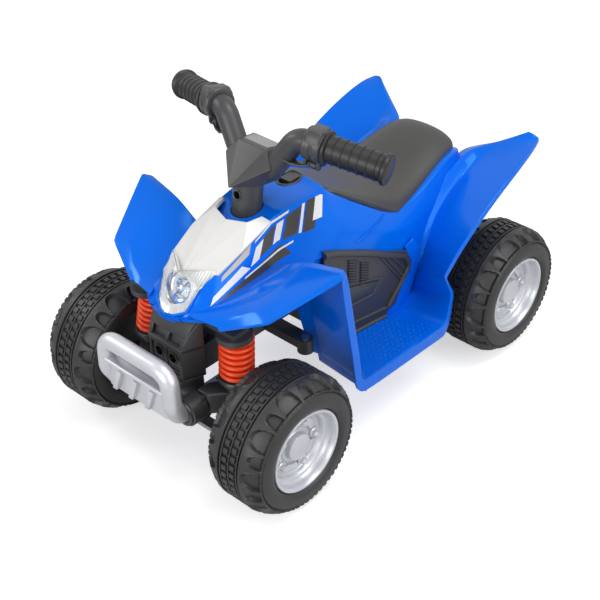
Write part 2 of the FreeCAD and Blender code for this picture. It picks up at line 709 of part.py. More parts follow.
REAR_FENDER_SHARES = [
    (0.00, [(0.56, 0.33), (0.76, 0.36), (0.98, 0.40)]),
    (0.17, [(0.52, 0.48), (0.75, 0.515), (0.99, 0.555)]),
    (0.36, [(0.47, 0.57), (0.73, 0.62), (1.00, 0.68)]),
    (0.62, [(0.40, 0.73), (0.68, 0.78), (0.97, 0.83)]),
    (0.79, [(0.36, 0.82), (0.63, 0.87), (0.92, 0.93)]),
    (0.90, [(0.60, 0.90), (0.75, 0.93), (0.905, 0.965)]),
    (1.00, [(0.78, 0.97), (0.83, 0.985), (0.89, 1.00)]),
]


def fender(shares_table, front, length, half, rise):
    """Wing panel of even wall with a turned-down outer lip."""
    wall = float(size.fender_wall)
    lip = float(size.fender_lip)
    sections = []
    for share, corners in shares_table:
        points = [(x * float(half), float(axle_z) + z * float(rise)) for x, z in corners]
        band = thickened(points, wall)
        outer = points[-1]
        band = points + [(outer[0] + wall / 2, outer[1] - lip),
                         (outer[0] - wall / 2, outer[1] - lip)] + band[3:]
        band[5] = (outer[0] - wall, band[5][1])
        sections.append([Vector(x, float(front) + share * float(length), z) for x, z in band])
    return ruled_solid(sections)


def foot_section(x, skew_share, rise_share):
    """Foot well in the plane at x: leaning front wall, floor and heel wall."""
    floor = float(floor_z)
    front = float(front_y + size.foot_front) + float(size.foot_skew) * skew_share
    back = float(rear_y - size.foot_back) - float(size.heel_skew) * skew_share
    lean = float(size.heel_lean)
    line = [
        (front - float(size.wall_lean), floor + float(wall_rise) * rise_share), (front, floor),
        (back, floor),
        (back + lean, floor + float(size.heel_rise) / 2),
        (back - lean, floor + float(size.heel_rise) * rise_share),
    ]
    return [Vector(x, y, z) for y, z in thickened(line, float(size.foot_wall))]


def tread_pan():
    """Shallow level pan in the floor of the foot well, clear of the engine panel."""
    inner = size.cowl_half + size.panel_wall + size.pan_margin / 2
    start = front_y + size.foot_front + size.foot_skew + size.pan_margin
    end = rear_y - size.foot_back - size.heel_skew - size.pan_margin
    return box("tread_pan", (inner, start, floor_z - size.pan_depth),
               (size.foot_half - size.pan_margin - inner, end - start, size.pan_depth + size.overrun))


def cowl_at(y):
    """Half-section corners of the cowl at a station between the table's rows."""
    share = (y - float(nose_y)) / float(size.cowl_length)
    for (before, first), (after, second) in zip(COWL_SHARES, COWL_SHARES[1:]):
        if before <= share <= after:
            blend = (share - before) / (after - before)
            mixed = [(a + (c - a) * blend, b + (d - b) * blend) for (a, b), (c, d) in zip(first, second)]
            return cowl_half(mixed)
    raise ValueError(f"no cowl at {y}")


def panel_shape():
    """Engine side panel below the cowl's lower edge, standing on the foot well's floor."""
    start = float(front_y + size.panel_front)
    end = start + float(size.panel_length)
    table = [float(nose_y) + share * float(size.cowl_length) for share, _ in COWL_SHARES]
    sections = []
    for y in [start] + [y for y in table if start < y < end] + [end]:
        x, z = cowl_at(y)[0]
        inner, outer, top = x - float(size.face_play), x + float(size.panel_wall), z + float(size.panel_tuck)
        low = float(floor_z)
        sections.append([Vector(inner, y, low), Vector(outer, y, low), Vector(outer, y, top),
                         Vector(inner, y, top)])
    return ruled_solid(sections)


SEAT_SHARES = [
    (0.00, [(0.18, 0.68), (0.19, 0.81), (0.14, 0.84), (0.08, 0.86), (0, 0.87)]),
    (0.09, [(0.51, 0.43), (0.54, 0.59), (0.44, 0.73), (0.26, 0.79), (0, 0.81)]),
    (0.20, [(0.79, 0.16), (0.83, 0.33), (0.69, 0.56), (0.41, 0.67), (0, 0.70)]),
    (0.32, [(0.94, 0.00), (0.97, 0.17), (0.82, 0.43), (0.49, 0.57), (0, 0.62)]),
    (0.54, [(0.90, 0.16), (0.95, 0.35), (0.87, 0.52), (0.54, 0.65), (0, 0.70)]),
    (0.75, [(0.84, 0.37), (0.885, 0.56), (0.82, 0.75), (0.54, 0.86), (0, 0.90)]),
    (0.92, [(0.74, 0.52), (0.78, 0.71), (0.71, 0.87), (0.49, 0.97), (0, 1.00)]),
    (1.00, [(0.59, 0.56), (0.62, 0.68), (0.56, 0.78), (0.38, 0.84), (0, 0.86)]),
]


def ridge_at(y):
    """Height of the cowl's middle line at a station."""
    return cowl_at(y)[4][1]


def seat_shape():
    sections = []
    front = float(front_y + size.seat_front)
    low = ridge_at(front + float(size.seat_length) / 2) - float(size.seat_sink)
    for share, corners in SEAT_SHARES:
        y = front + share * float(size.seat_length)
        half = [(x * float(size.seat_half), low + z * float(size.seat_rise)) for x, z in corners]
        sections.append(full_section(y, half))
    return ruled_solid(sections)


def trim_shape(rows, wall, ahead=0):
    """Trim that stands a wall proud of the cowl's ridge and edges, before its seat is cut."""
    sections = []
    for y, edge, ridge in rows:
        half = [(edge[0], edge[1] - wall), (edge[0], edge[1] + wall), (0, ridge + wall)]
        sections.append(full_section(y - ahead, half))
    return ruled_solid(sections)


def table_row(index):
    share, corners = COWL_SHARES[index]
    half = cowl_half(corners)
    return float(nose_y) + share * float(size.cowl_length), half[3], half[4][1]


def plate_shape():
    y, edge, ridge = table_row(2)
    narrow = float(size.plate_tip_half) / edge[0]
    tip = (y, (edge[0] * narrow, ridge + (edge[1] - ridge) * narrow), ridge)
    return trim_shape([tip, table_row(3), table_row(4)], float(size.plate_wall))


def lens_shape():
    return trim_shape([table_row(0), table_row(1), table_row(2)], float(size.lens_wall),
                      float(size.lens_wall))


def lamp_spot(along):
    """Place on the lamp's axis, measured outwards from the nose's sloping face."""
    low_y, _, low_z = table_row(1)
    high_y, _, high_z = table_row(2)
    turn = Rotation(Vector(1, 0, 0), math.degrees(math.atan2(high_z - low_z, high_y - low_y)))
    return Placement(Vector(0, low_y, low_z) + turn.multVec(Vector(0, 0, along)), turn)


def headlamp(outer, plate_blank):
    """Dished reflector and bulb in a round pocket of the nose, under a clear lens."""
    pocket = placed("lamp_pocket", rod("lamp_bore", size.lamp_radius, size.lamp_depth + size.lamp_radius,
                                       (ZERO, ZERO, ZERO)), lamp_spot(-float(size.lamp_depth)))
    blank = rod("reflector_blank", size.lamp_radius, size.lamp_depth - size.lamp_recess, (ZERO, ZERO, ZERO))
    dish = doc.addObject("Part::Sphere", "reflector_dish")
    bind(dish, Radius=size.dish_radius)
    place(dish, (ZERO, ZERO, size.dish_radius + size.lamp_recess))
    seat = rod("bulb_seat", size.bulb_radius, size.lamp_depth, (ZERO, ZERO, -size.overrun))
    part("headlamp_bulb", placed("headlamp_bulb", rod("bulb", size.bulb_radius, size.bulb_length,
                                                      (ZERO, ZERO, ZERO)),
                                 lamp_spot(-float(size.lamp_depth))))
    lens = feature("lens_blank", lens_shape())
    cover = part("headlamp_lens", cut("headlamp_lens", lens, [outer, plate_blank]))
    bowl = placed("reflector_bowl", cut("reflector", blank, [dish, seat]),
                  lamp_spot(-float(size.lamp_depth)))
    part("headlamp_reflector", cut("headlamp_reflector", bowl, [cover]))
    return pocket


def blue_body():
    outer = feature("cowl_outer", cowl_outer())
    inner = feature("cowl_inner", cowl_inner())
    front = feature("front_fender_blank", fender(FRONT_FENDER_SHARES, front_y - size.front_fender_front,
                                                 size.front_fender_front + size.front_fender_back,
                                                 size.front_fender_half, front_fender_rise))
    rear = feature("rear_fender_blank", fender(REAR_FENDER_SHARES, rear_y - size.rear_fender_front,
                                               size.rear_fender_front + size.rear_fender_back,
                                               size.rear_fender_half, rear_fender_rise))
    well = feature("foot_well_blank", ruled_solid([foot_section(float(size.tray_front_half), 1, 0.80),
                                                   foot_section(float(size.foot_half), 0, 1)]))
    pair("front_fender", cut("front_fender", front, [outer]))
    pair("rear_fender", cut("rear_fender", rear, [outer]))
    pair("foot_well", cut("foot_well", well, [outer, front, rear, tread_pan()]))
    pair("engine_panel", cut("engine_panel", feature("panel_blank", panel_shape()), [outer, well]))
    part("seat", cut("seat", feature("seat_blank", seat_shape()), [outer]))
    plate_blank = feature("plate_blank", plate_shape())
    notch = rod("plate_notch", size.plate_notch, size.cowl_rise,
                (ZERO, column_y, column_z - size.cowl_rise / 2))
    part("nose_plate", cut("nose_plate", plate_blank, [outer, notch]))
    pocket = headlamp(outer, plate_blank)
    stem_hole = placed("stem_hole", rod("stem_bore", size.stem_radius + size.stem_play,
                                        size.stem_height * 4,
                                        (ZERO, ZERO, -size.stem_height * 2)), steer_spot())
    holes = [inner, pocket, stem_hole, switch_block("switch_pocket")]
    return outer, part("body_cowl", cut("body_cowl", outer, holes))


def switch_top():
    return ZERO + ridge_at(float(front_y + size.switch_back)) + size.switch_proud


def switch_block(name):
    return box(name, (-size.switch_half, front_y + size.switch_back - size.switch_length / 2,
                      switch_top() - size.switch_height),
               (size.switch_half * 2, size.switch_length, size.switch_height))


def switch():
    """Forward and reverse rocker in a rimmed housing let into the tank's top."""
    rim = size.switch_rim
    y = front_y + size.switch_back
    top = switch_top()
    well_half = size.switch_half - rim
    well_length = size.switch_length - rim * 2
    pocket = box("switch_well", (-well_half, y - well_length / 2,
                                 top - size.switch_height + size.switch_floor),
                 (well_half * 2, well_length, size.switch_height))
    pivot = top - size.rocker_drop
    pin_half = size.switch_half - rim / 2
    bore = rod("rocker_bore", size.rocker_pin_radius + size.run_clearance, (pin_half + size.face_play) * 2,
               (-pin_half - size.face_play, y, pivot), TO_X)
    part("switch_housing", cut("switch_housing", switch_block("switch_blank"), [pocket, bore]))
    rocker_half = well_half - size.face_play
    rocker_length = well_length - size.rocker_play * 2
    part("rocker", joined("rocker", [
        box("rocker_block", (-rocker_half, y - rocker_length / 2, pivot - size.rocker_height / 3),
            (rocker_half * 2, rocker_length, size.rocker_height)),
        rod("rocker_pin", size.rocker_pin_radius, pin_half * 2, (-pin_half, y, pivot), TO_X),
    ]))


def grille(outer):
    """Black mock radiator block on the beam, with two recessed windows."""
    body, sketch = body_with_sketch("grille_body", "YZ_Plane")
    front = front_y - size.grille_front
    back = front_y - size.grille_back
    shoulder = beam_top + size.grille_shoulder
    outline(sketch, [(front, beam_top), (front, shoulder),
                     (front + size.grille_slope, beam_top + size.grille_ledge),
                     (back, beam_top + size.grille_height), (back, beam_top)])
    padded(body, sketch, "grille_pad", size.grille_half * 2, True)
    windows = []
    for side, low_x in (("left", size.window_gap / 2), ("right", -size.window_gap / 2 - size.window_width)):
        windows.append(box(f"window_{side}", (low_x, front - size.overrun,
                                              beam_top + size.window_lift - size.window_height),
                           (size.window_width, size.window_depth + size.overrun, size.window_height)))
    part("grille_block", cut("grille_block", body, [outer] + windows))


def tower_low():
    return (column_z - spine_low) / trig("cos") + size.bush_flange * 2


def chassis(cowl_shell):
    """Black chassis: spine, strut crossbar, steering tower, outriggers and the two drive trays."""
    spine_y = front_y - size.grille_back
    crossbar_y = front_y - size.crossbar_depth / 2
    crossbar_half = kingpin_x + size.crossbar_end
    blanks = [
        box("spine", (-size.spine_half, spine_y, spine_low),
            (size.spine_half * 2, tray_front_y + size.tray_wall - spine_y, size.spine_height)),
        box("spine_foot", (-size.spine_half, spine_y, beam_top),
            (size.spine_half * 2, size.beam_depth, size.spine_lift)),
        box("spine_riser", (-size.spine_half, tray_front_y, tray_low),
            (size.spine_half * 2, size.tray_wall, spine_top - tray_low)),
        box("crossbar", (-crossbar_half, crossbar_y, strut_top),
            (crossbar_half * 2, size.crossbar_depth, size.crossbar_height)),
        box("crossbar_post", (-size.crossbar_post_half, crossbar_y, spine_low),
            (size.crossbar_post_half * 2, size.crossbar_depth,
             strut_top + size.crossbar_height - spine_low)),
        placed("tower", rod("tower_tube", size.tower_radius, tower_low() - size.tower_drop,
                            (ZERO, ZERO, -tower_low())),
               steer_spot()),
        tray("tray_front", size.tray_front_half, tray_front_y, size.tray_front_length + size.tray_wall,
             size.tray_front_height),
        rod("axle_boss", size.spacer_radius, tyre_in + size.web_inset - size.face_play - size.tray_rear_half,
            (size.face_play - tyre_in - size.web_inset, rear_y, axle_z), TO_X),
        tray("tray_rear", size.tray_rear_half, tray_rear_y, size.tray_rear_length, size.tray_rear_height),
    ]
    arm_y = front_y + size.outrigger_back
    holes = [
        placed("tower_bore", rod("tower_hole", size.bush_radius, column_z, (ZERO, ZERO, -column_z)),
               steer_spot()),
        rod("axle_hole", size.axle_radius, axle_end * 2, (-axle_end, rear_y, axle_z), TO_X),
        rod("dog_hole", size.dog_radius + size.face_play, size.tray_rear_half,
            (size.tray_rear_half / 2, rear_y, axle_z), TO_X),
        rod("jack_hole", size.jack_radius, size.tray_wall * 4,
            (-size.jack_side, tray_back_y() - size.tray_wall * 2, jack_z()),
            TO_Y),
        cowl_shell,
    ]
    for side, sign in SIDES.items():
        reach = size.outrigger_reach
        low_x = ZERO if sign > 0 else -reach
        blanks.append(box(f"outrigger_{side}", (low_x, arm_y - size.outrigger_width / 2, spine_low),
                          (reach, size.outrigger_width, size.outrigger_height)))
        blanks.append(rod(f"strut_cap_{side}", size.spring_radius, size.spring_cap,
                          (kingpin_x * sign, front_y, strut_top - size.spring_cap)))
        blanks.append(rod(f"outrigger_boss_{side}", size.outrigger_boss,
                          size.outrigger_height + size.outrigger_drop,
                          (reach * sign, arm_y, spine_low - size.outrigger_drop)))
        holes.append(rod(f"boss_bore_{side}", size.screw_radius, size.screw_length + size.overrun,
                         (reach * sign, arm_y, spine_low + size.outrigger_height - size.screw_length)))
    part("chassis_frame", cut("chassis_frame", joined("chassis_blank", blanks), holes))
    screws = []
    for side, sign in SIDES.items():
        top = spine_low + size.outrigger_height
        screws.append(joined(f"boss_screw_{side}", [
            rod(f"screw_shank_{side}", size.screw_radius, size.screw_length,
                (size.outrigger_reach * sign, arm_y, top - size.screw_length)),
            rod(f"screw_head_{side}", size.screw_head, size.screw_head_height,
                (size.outrigger_reach * sign, arm_y, top)),
        ]))
    part("boss_screws", placed("boss_screws", screws, Placement()))


def tray(name, half, y, length, height):
    shell = box(f"{name}_shell", (-half, y, tray_low), (half * 2, length, height))
    wall = size.tray_wall
    room = box(f"{name}_room", (-half + wall, y + wall, tray_low + wall),
               ((half - wall) * 2, length - wall * 2, height))
    return cut(name, shell, [room])


def tray_back_y():
    return tray_rear_y + size.tray_rear_length


def jack_z():
    return axle_z + size.jack_rise


def drive():
    """Rear axle, motor, gearbox, drive dog, spacer, battery and charging socket."""
    part("rear_axle", rod("rear_axle", size.axle_radius, axle_end * 2, (-axle_end, rear_y, axle_z), TO_X))
    left_nut = axle_nut("rear_axle_nut", rear_y)
    part("rear_axle_nuts", placed("rear_axle_nuts",
                                  [left_nut, mirrored("rear_axle_nut_mirror", left_nut)], Placement()))
    wheel_face = tyre_in + size.web_inset
    gearbox_out = size.tray_rear_half - size.tray_wall - size.face_play
    gearbox_in = gearbox_out - size.gearbox_width
    floor = tray_low + size.tray_wall
    dog = cut("drive_dog", rod("dog_tube", size.dog_radius, wheel_face - gearbox_out - size.face_play,
                               (gearbox_out + size.face_play, rear_y, axle_z), TO_X),
              [rod("dog_bore", hub_bore, wheel_face, (gearbox_in, rear_y, axle_z), TO_X)])
    part("drive_dog", dog)
    body, sketch = body_with_sketch("gearbox_body", "YZ_Plane")
    low_y, high_y = rear_y - size.gearbox_ahead, rear_y + size.gearbox_behind
    edge = size.gearbox_edge
    top = floor + size.gearbox_height
    outline(sketch, [(low_y, floor), (high_y - edge, floor), (high_y, floor + edge),
                     (high_y, top - edge * 2),
                     (high_y - edge * 2, top), (low_y + edge, top), (low_y, top - edge)])
    padded(body, sketch, "gearbox_pad", size.gearbox_width)
    motor_y = rear_y - size.motor_ahead
    motor_z = axle_z + size.motor_rise
    shifted = placed("gearbox_block", body, Placement(Vector(float(gearbox_in), 0, 0), Rotation()))
    axle_gap = rod("gearbox_bore", size.axle_radius, size.gearbox_width * 2,
                   (gearbox_in - size.overrun, rear_y, axle_z), TO_X)
    part("gearbox", cut("gearbox", shifted, [axle_gap]))
    part("motor", rod("motor", size.motor_radius, size.motor_length,
                      (gearbox_in - size.motor_length, motor_y, motor_z), TO_X))
    battery_body, battery_sketch = body_with_sketch("battery_body", "XY_Plane")
    half = size.battery_width / 2
    start = tray_front_y + size.tray_wall + size.battery_edge
    outline(battery_sketch, [(-half, start), (half, start), (half, start + size.battery_length),
                             (-half, start + size.battery_length)])
    padded(battery_body, battery_sketch, "battery_pad", size.battery_height)
    part("battery", placed("battery", battery_body, Placement(Vector(0, 0, float(floor)), Rotation())))
    back = tray_back_y()
    blank = joined("jack_blank", [
        rod("jack_tube", size.jack_radius, size.jack_length,
            (-size.jack_side, back - size.jack_length, jack_z()), TO_Y),
        rod("jack_rim", size.jack_flange, size.jack_flange_height, (-size.jack_side, back, jack_z()), TO_Y),
    ])
    bore = rod("jack_socket", size.jack_bore, size.jack_length + size.jack_flange_height,
               (-size.jack_side, back - size.jack_length + size.jack_floor, jack_z()), TO_Y)
    part("charging_socket", cut("charging_socket", blank, [bore]))


def steer_spot():
    """Frame of the steering column: local Z runs up the leaning column from the hood."""
    return Placement(Vector(0, float(column_y), float(column_z)),
                     Rotation(Vector(1, 0, 0), -float(size.column_tilt)))


def steering():
    """Column with crank, stem sleeve, pod, handlebar, grips, lever collars and levers."""
    level = crank_level()
    crank_top = level + size.tie_height / 2 + size.crank_gap
    crank_low = crank_top + size.crank_height
    bolt_hole = rod("stem_bolt_rod", size.stem_bolt_radius, size.stem_radius * 2,
                    (ZERO, -size.stem_radius, size.stem_bolt_level), TO_Y)
    column = joined("column_blank", [
        rod("column_rod", size.column_radius, crank_low + size.column_top, (ZERO, ZERO, -crank_low)),
        box("crank_arm", (-size.crank_width / 2, -size.arm_length - size.crank_width / 2, -crank_low),
            (size.crank_width, size.arm_length + size.crank_width, size.crank_height)),
        rod("crank_pin", size.tie_pin_radius, crank_top - level + size.tie_height,
            (ZERO, -size.arm_length, -crank_top)),
    ])
    part("steering_column", placed("steering_column", cut("column", column, [bolt_hole]), steer_spot()))
    bushes = []
    for name, low, rim_low in (("upper", -size.tower_drop - size.bush_length, -size.tower_drop),
                               ("lower", -tower_low(), -tower_low() - size.bush_flange)):
        sleeve = joined(f"{name}_bush_blank", [
            rod(f"{name}_bush_sleeve", size.bush_radius, size.bush_length, (ZERO, ZERO, low)),
            rod(f"{name}_bush_rim", size.tower_radius, size.bush_flange, (ZERO, ZERO, rim_low)),
        ])
        hole = rod(f"{name}_bush_hole", size.column_radius + size.run_clearance, size.bush_length * 3,
                   (ZERO, ZERO, rim_low - size.bush_length))
        bushes.append(cut(f"{name}_bush", sleeve, [hole]))
    part("column_bushes", placed("column_bushes", bushes, steer_spot()))
    stem = rod("stem_sleeve", size.stem_radius, size.stem_height + size.stem_drop,
               (ZERO, ZERO, -size.stem_drop))
    core = rod("stem_core", size.column_radius, size.stem_height * 4, (ZERO, ZERO, -size.stem_height * 2))
    part("handlebar_stem", placed("handlebar_stem", cut("stem", stem, [core, bolt_hole]), steer_spot()))
    part("stem_bolt", placed("stem_bolt", bolt_hole, steer_spot()))
    bar = feature("bar", handlebar_shape())
    part("handlebar", placed("handlebar", cut("handlebar_tube", bar, [core]), steer_spot()))
    pod = feature("pod_blank", ruled_solid([pod_section(POD_LOW_SHARES, float(size.stem_height)),
                                            pod_section(POD_TOP_SHARES,
                                                        float(size.stem_height + size.pod_height))]))
    part("handlebar_pod", placed("handlebar_pod", cut("pod", pod, [bar, core]), steer_spot()))
    top = float(size.stem_height + size.pod_height)
    dash = feature("dash", ruled_solid([pod_section(DASH_SHARES, top),
                                        pod_section(DASH_SHARES, top + float(size.dash_wall))]))
    part("dash_plate", placed("dash_plate", dash, steer_spot()))
    grips()


POD_LOW_SHARES = [(-0.14, -0.95), (0.14, -0.95), (0.55, -0.20), (0.55, 0.60), (-0.55, 0.60), (-0.55, -0.20)]
POD_TOP_SHARES = [(-0.32, -0.80), (0.32, -0.80), (1.00, -0.10), (0.78, 1.00), (-0.78, 1.00), (-1.00, -0.10)]
DASH_SHARES = [(-0.30, -0.30), (0.30, -0.30), (0.52, 0.00), (0.52, 0.80), (-0.52, 0.80), (-0.52, 0.00)]


def pod_section(shares, z):
    return [Vector(x * float(size.pod_half), y * float(size.pod_reach), z) for x, y in shares]


def bar_points():
    root = Vector(float(size.bar_bend_in), 0, float(size.bar_low))
    bend = Vector(float(size.bar_bend_out), float(size.bar_bend_sweep), float(size.bar_high))
    end = Vector(float(size.bar_half), float(size.bar_sweep), float(size.bar_end_high))
    return root, bend, end


def handlebar_shape():
    half = list(bar_points())
    other = [Vector(-spot.x, spot.y, spot.z) for spot in half]
    bend, root = float(size.bar_bend_radius), float(size.bar_root_radius)
    return tube(rounded_path(half[::-1] + other, [bend, root, root, bend]), float(size.bar_radius))


def grip_spot():
    """Frame of the left grip: local Z runs outwards along the bar, local Y is nearly up."""
    _, bend, end = bar_points()
    along = (end - bend).normalize()
    return steer_spot() * Placement(bend, Rotation(Vector(), Vector(0, 0, 1), along, "ZYX"))


def grips():
    bar_length = spread(size.bar_half - size.bar_bend_out, size.bar_sweep - size.bar_bend_sweep,
                        size.bar_end_high - size.bar_high)
    start = size.collar_start + size.collar_length
    body, sketch = body_with_sketch("grip_body", "XZ_Plane")
    ribs = int(float(size.grip_rib_count))
    pitch = (bar_length - start - size.grip_flange_height) / ribs
    corners = [(size.bar_radius, start), (size.bar_radius, bar_length), (ZERO, bar_length),
               (ZERO, bar_length + size.grip_end), (size.grip_flange, bar_length + size.grip_end),
               (size.grip_flange, bar_length - size.grip_flange_height),
               (size.grip_radius, bar_length - size.grip_flange_height)]
    for index in reversed(range(1, ribs)):
        low = start + pitch * index
        neck = size.grip_radius - size.grip_rib_depth
        corners += [(size.grip_radius, low + size.grip_groove), (neck, low + size.grip_groove),
                    (neck, low), (size.grip_radius, low)]
    corners.append((size.grip_radius, start))
    outline(sketch, corners)
    revolved(body, sketch, "grip_turned")
    pair("grip", placed("grip", body, grip_spot()))
    ears = []
    bores = [rod("collar_bore", size.bar_radius, size.collar_length * 2, (ZERO, ZERO, ZERO))]
    for name, low in (("inner", size.collar_start), ("outer", start - size.ear_wall)):
        ears.append(box(f"ear_{name}", (-size.ear_width / 2, -size.ear_drop - size.lever_radius, low),
                        (size.ear_width, size.ear_drop + size.lever_radius, size.ear_wall)))
    bores.append(rod("lever_bore", size.lever_pin_radius + size.run_clearance, size.collar_length * 2,
                     (ZERO, -size.ear_drop, ZERO)))
    ring = rod("collar_ring", size.collar_radius, size.collar_length, (ZERO, ZERO, size.collar_start))
    pair("lever_collar", placed("lever_collar", cut("collar", joined("collar_blank", [ring] + ears),
                                                    bores), grip_spot()))
    hub_low = size.collar_start + size.ear_wall + size.face_play
    hub_length = size.collar_length - (size.ear_wall + size.face_play) * 2
    lever = joined("lever_blank", [
        rod("lever_hub", size.lever_radius, hub_length, (ZERO, -size.ear_drop, hub_low)),
        rod("lever_pin", size.lever_pin_radius, size.collar_length,
            (ZERO, -size.ear_drop, size.collar_start)),
        box("lever_blade", (-size.lever_wall / 2, -size.ear_drop - size.lever_length, hub_low),
            (size.lever_wall, size.lever_length, hub_length)),
    ])
    pair("lever", placed("lever", lever, grip_spot()))


def finish_parts():
    doc.recompute()
    broken = [item.Name for item in doc.Objects if {"Invalid", "Error"} & set(item.State)]
    broken += [item.Label for item in PARTS if item.Shape.isNull() or not item.Shape.isValid()]
    if broken:
        raise RuntimeError(f"failed objects: {broken}")
    os.makedirs("parts", exist_ok=True)
    for item in PARTS:
        item.Shape.exportStep(f"parts/{item.Label}.step")
    print(f"{len(PARTS)} parts")


wheels()
knuckles()
tie_rod()
front_beam()
bumper()
struts()
cowl_volume, cowl_shell = blue_body()
grille(cowl_volume)
chassis(cowl_shell)
switch()
drive()
steering()
finish_parts()
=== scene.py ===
from contextlib import contextmanager
from math import cos, sin, tan, pi, radians
import bmesh
import bpy
from mathutils import Matrix, Vector
from mathutils.bvhtree import BVHTree


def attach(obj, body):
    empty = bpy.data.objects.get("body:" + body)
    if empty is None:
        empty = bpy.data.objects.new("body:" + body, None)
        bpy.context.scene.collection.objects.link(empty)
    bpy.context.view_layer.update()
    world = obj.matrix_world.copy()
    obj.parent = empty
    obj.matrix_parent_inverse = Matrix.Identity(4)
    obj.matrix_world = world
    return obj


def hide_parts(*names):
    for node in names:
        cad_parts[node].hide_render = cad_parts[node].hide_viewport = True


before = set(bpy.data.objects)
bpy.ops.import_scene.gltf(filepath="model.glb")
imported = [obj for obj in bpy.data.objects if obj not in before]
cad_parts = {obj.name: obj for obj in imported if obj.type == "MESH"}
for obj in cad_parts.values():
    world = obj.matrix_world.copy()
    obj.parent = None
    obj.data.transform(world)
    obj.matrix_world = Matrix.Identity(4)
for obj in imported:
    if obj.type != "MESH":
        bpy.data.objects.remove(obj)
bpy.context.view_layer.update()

MM = 0.001
SIDES = (("left", 1), ("right", -1))
scene = bpy.context.scene


# node helper and materials

def rgb(code):
    """Linear colour of an sRGB hex code."""
    parts = [int(code[i:i + 2], 16) / 255 for i in (1, 3, 5)]
    return [p / 12.92 if p <= 0.04045 else ((p + 0.055) / 1.055) ** 2.4 for p in parts] + [1.0]


def add(tree, kind, values=None, links=None):
    """One node. A key is an attribute or else an input; links come from a socket or a node's first."""
    node = tree.nodes.new(kind)
    for key, value in (values or {}).items():
        if isinstance(key, str) and hasattr(node, key):
            setattr(node, key, value)
        else:
            node.inputs[key].default_value = value
    for key, source in (links or {}).items():
        tree.links.new(getattr(source, "outputs", (source,))[0], node.inputs[key])
    return node


def moulded(name, colour, shine, grain_mm, depth_mm, drift=0.05, swing=0.06, cloud_mm=70, ribs=False,
            **more):
    """A moulded or painted surface: fine grain or ribs in relief, and a slow drift of tone and shine."""
    mat = bpy.data.materials.new(name)
    mat.use_nodes = True
    tree = mat.node_tree
    skin = tree.nodes["Principled BSDF"]
    spot = add(tree, "ShaderNodeTexCoord").outputs["Object"]
    if ribs:
        bands = {"Scale": 1000 / grain_mm / 6.28, "bands_direction": "X"}
        grain = add(tree, "ShaderNodeTexWave", bands, {"Vector": spot})
    else:
        grain = add(tree, "ShaderNodeTexNoise", {"Scale": 1000 / grain_mm, "Detail": 3.0}, {"Vector": spot})
    cloud = add(tree, "ShaderNodeTexNoise", {"Scale": 1000 / cloud_mm, "Detail": 5.0}, {"Vector": spot})
    rough = add(tree, "ShaderNodeMapRange", {"To Min": shine - swing, "To Max": shine + swing},
                {"Value": cloud.outputs["Fac"]})
    base = rgb(colour)
    dark = [c * (1 - 2 * drift) for c in base[:3]] + [1.0]
    pale = [min(1.0, c * (1 + 2 * drift) + 0.01 * drift) for c in base[:3]] + [1.0]
    tone = add(tree, "ShaderNodeMix", {"data_type": "RGBA", 6: dark, 7: pale}, {0: cloud.outputs["Fac"]})
    bump = add(tree, "ShaderNodeBump", {"Strength": 0.6, "Distance": depth_mm * MM},
               {"Height": grain.outputs["Fac"]})
    tree.links.new(tone.outputs[2], skin.inputs["Base Color"])
    tree.links.new(rough.outputs["Result"], skin.inputs["Roughness"])
    tree.links.new(bump.outputs["Normal"], skin.inputs["Normal"])
    for key, value in more.items():
        skin.inputs[key.replace("_", " ")].default_value = value
    return mat


# glossy blue polypropylene body: clear reflections with a faint flow ripple
BLUE = moulded("blue_polypropylene", "#0066e2", 0.15, 30.0, 0.10, 0.03, 0.04, 120,
               Specular_Tint=(0.18, 0.62, 1.0, 1.0))
# black polypropylene with spark-eroded grain: satin and slightly grey
BLACK = moulded("black_grained_polypropylene", "#3a3a3c", 0.38, 1.1, 0.12, 0.10, 0.08)
# hard tyre plastic: matt, greyish where the light rakes it
TYRE = moulded("matt_black_tyre_plastic", "#262627", 0.44, 1.6, 0.14, 0.14, 0.08, 45)
# seat moulding: fine leather-like texture, half matt
SEAT = moulded("black_seat_plastic", "#3d3c3b", 0.44, 1.4, 0.20, 0.08, 0.06)
# soft grip vinyl: dark, with a dull sheen
GRIP = moulded("black_grip_vinyl", "#0f0f10", 0.42, 0.9, 0.10, 0.08, 0.06)
# silver lacquer with fine flake on plastic
SILVER = moulded("silver_lacquer_on_plastic", "#ccced3", 0.36, 0.5, 0.03, 0.05, 0.06, 40, Metallic=0.55)
# grey lacquer of the label plate: dull metal sheen
GREY = moulded("grey_lacquer", "#9b9c9c", 0.42, 0.6, 0.03, 0.05, 0.06, 40, Metallic=0.3)
# white gloss plastic: clean highlights on its facets
WHITE = moulded("white_gloss_plastic", "#dedddb", 0.22, 20.0, 0.06, 0.02, 0.05, 90)
# orange-red powder coat on spring wire: soft highlights along the coils
SPRING = moulded("orange_powder_coat", "#f64a18", 0.32, 0.8, 0.05, 0.05, 0.06, 25)
# zinc-plated steel of axle, pins and nuts: grey, cloudy mirror
STEEL = moulded("zinc_plated_steel", "#a9a8a4", 0.34, 0.8, 0.03, 0.08, 0.08, 15, Metallic=1.0)
# screw steel painted near black as the shade of its deep counterbore, with a dim glint
SHADE_DARK_STEEL = moulded("black_oxide_steel", "#1d1d1e", 0.38, 0.8, 0.03, 0.08, 0.08, 15, Metallic=0.8)
# printed film of the hood stripes: flat colour under a thin gloss
INK = moulded("dark_printed_film", "#37332f", 0.30, 0.7, 0.02, 0.10, 0.05, 30)
FILM = moulded("white_printed_film", "#e2e2e2", 0.28, 0.7, 0.02, 0.02, 0.05, 30)
ASH = moulded("pale_grey_printed_film", "#b9b3a4", 0.30, 0.7, 0.02, 0.06, 0.05, 30)
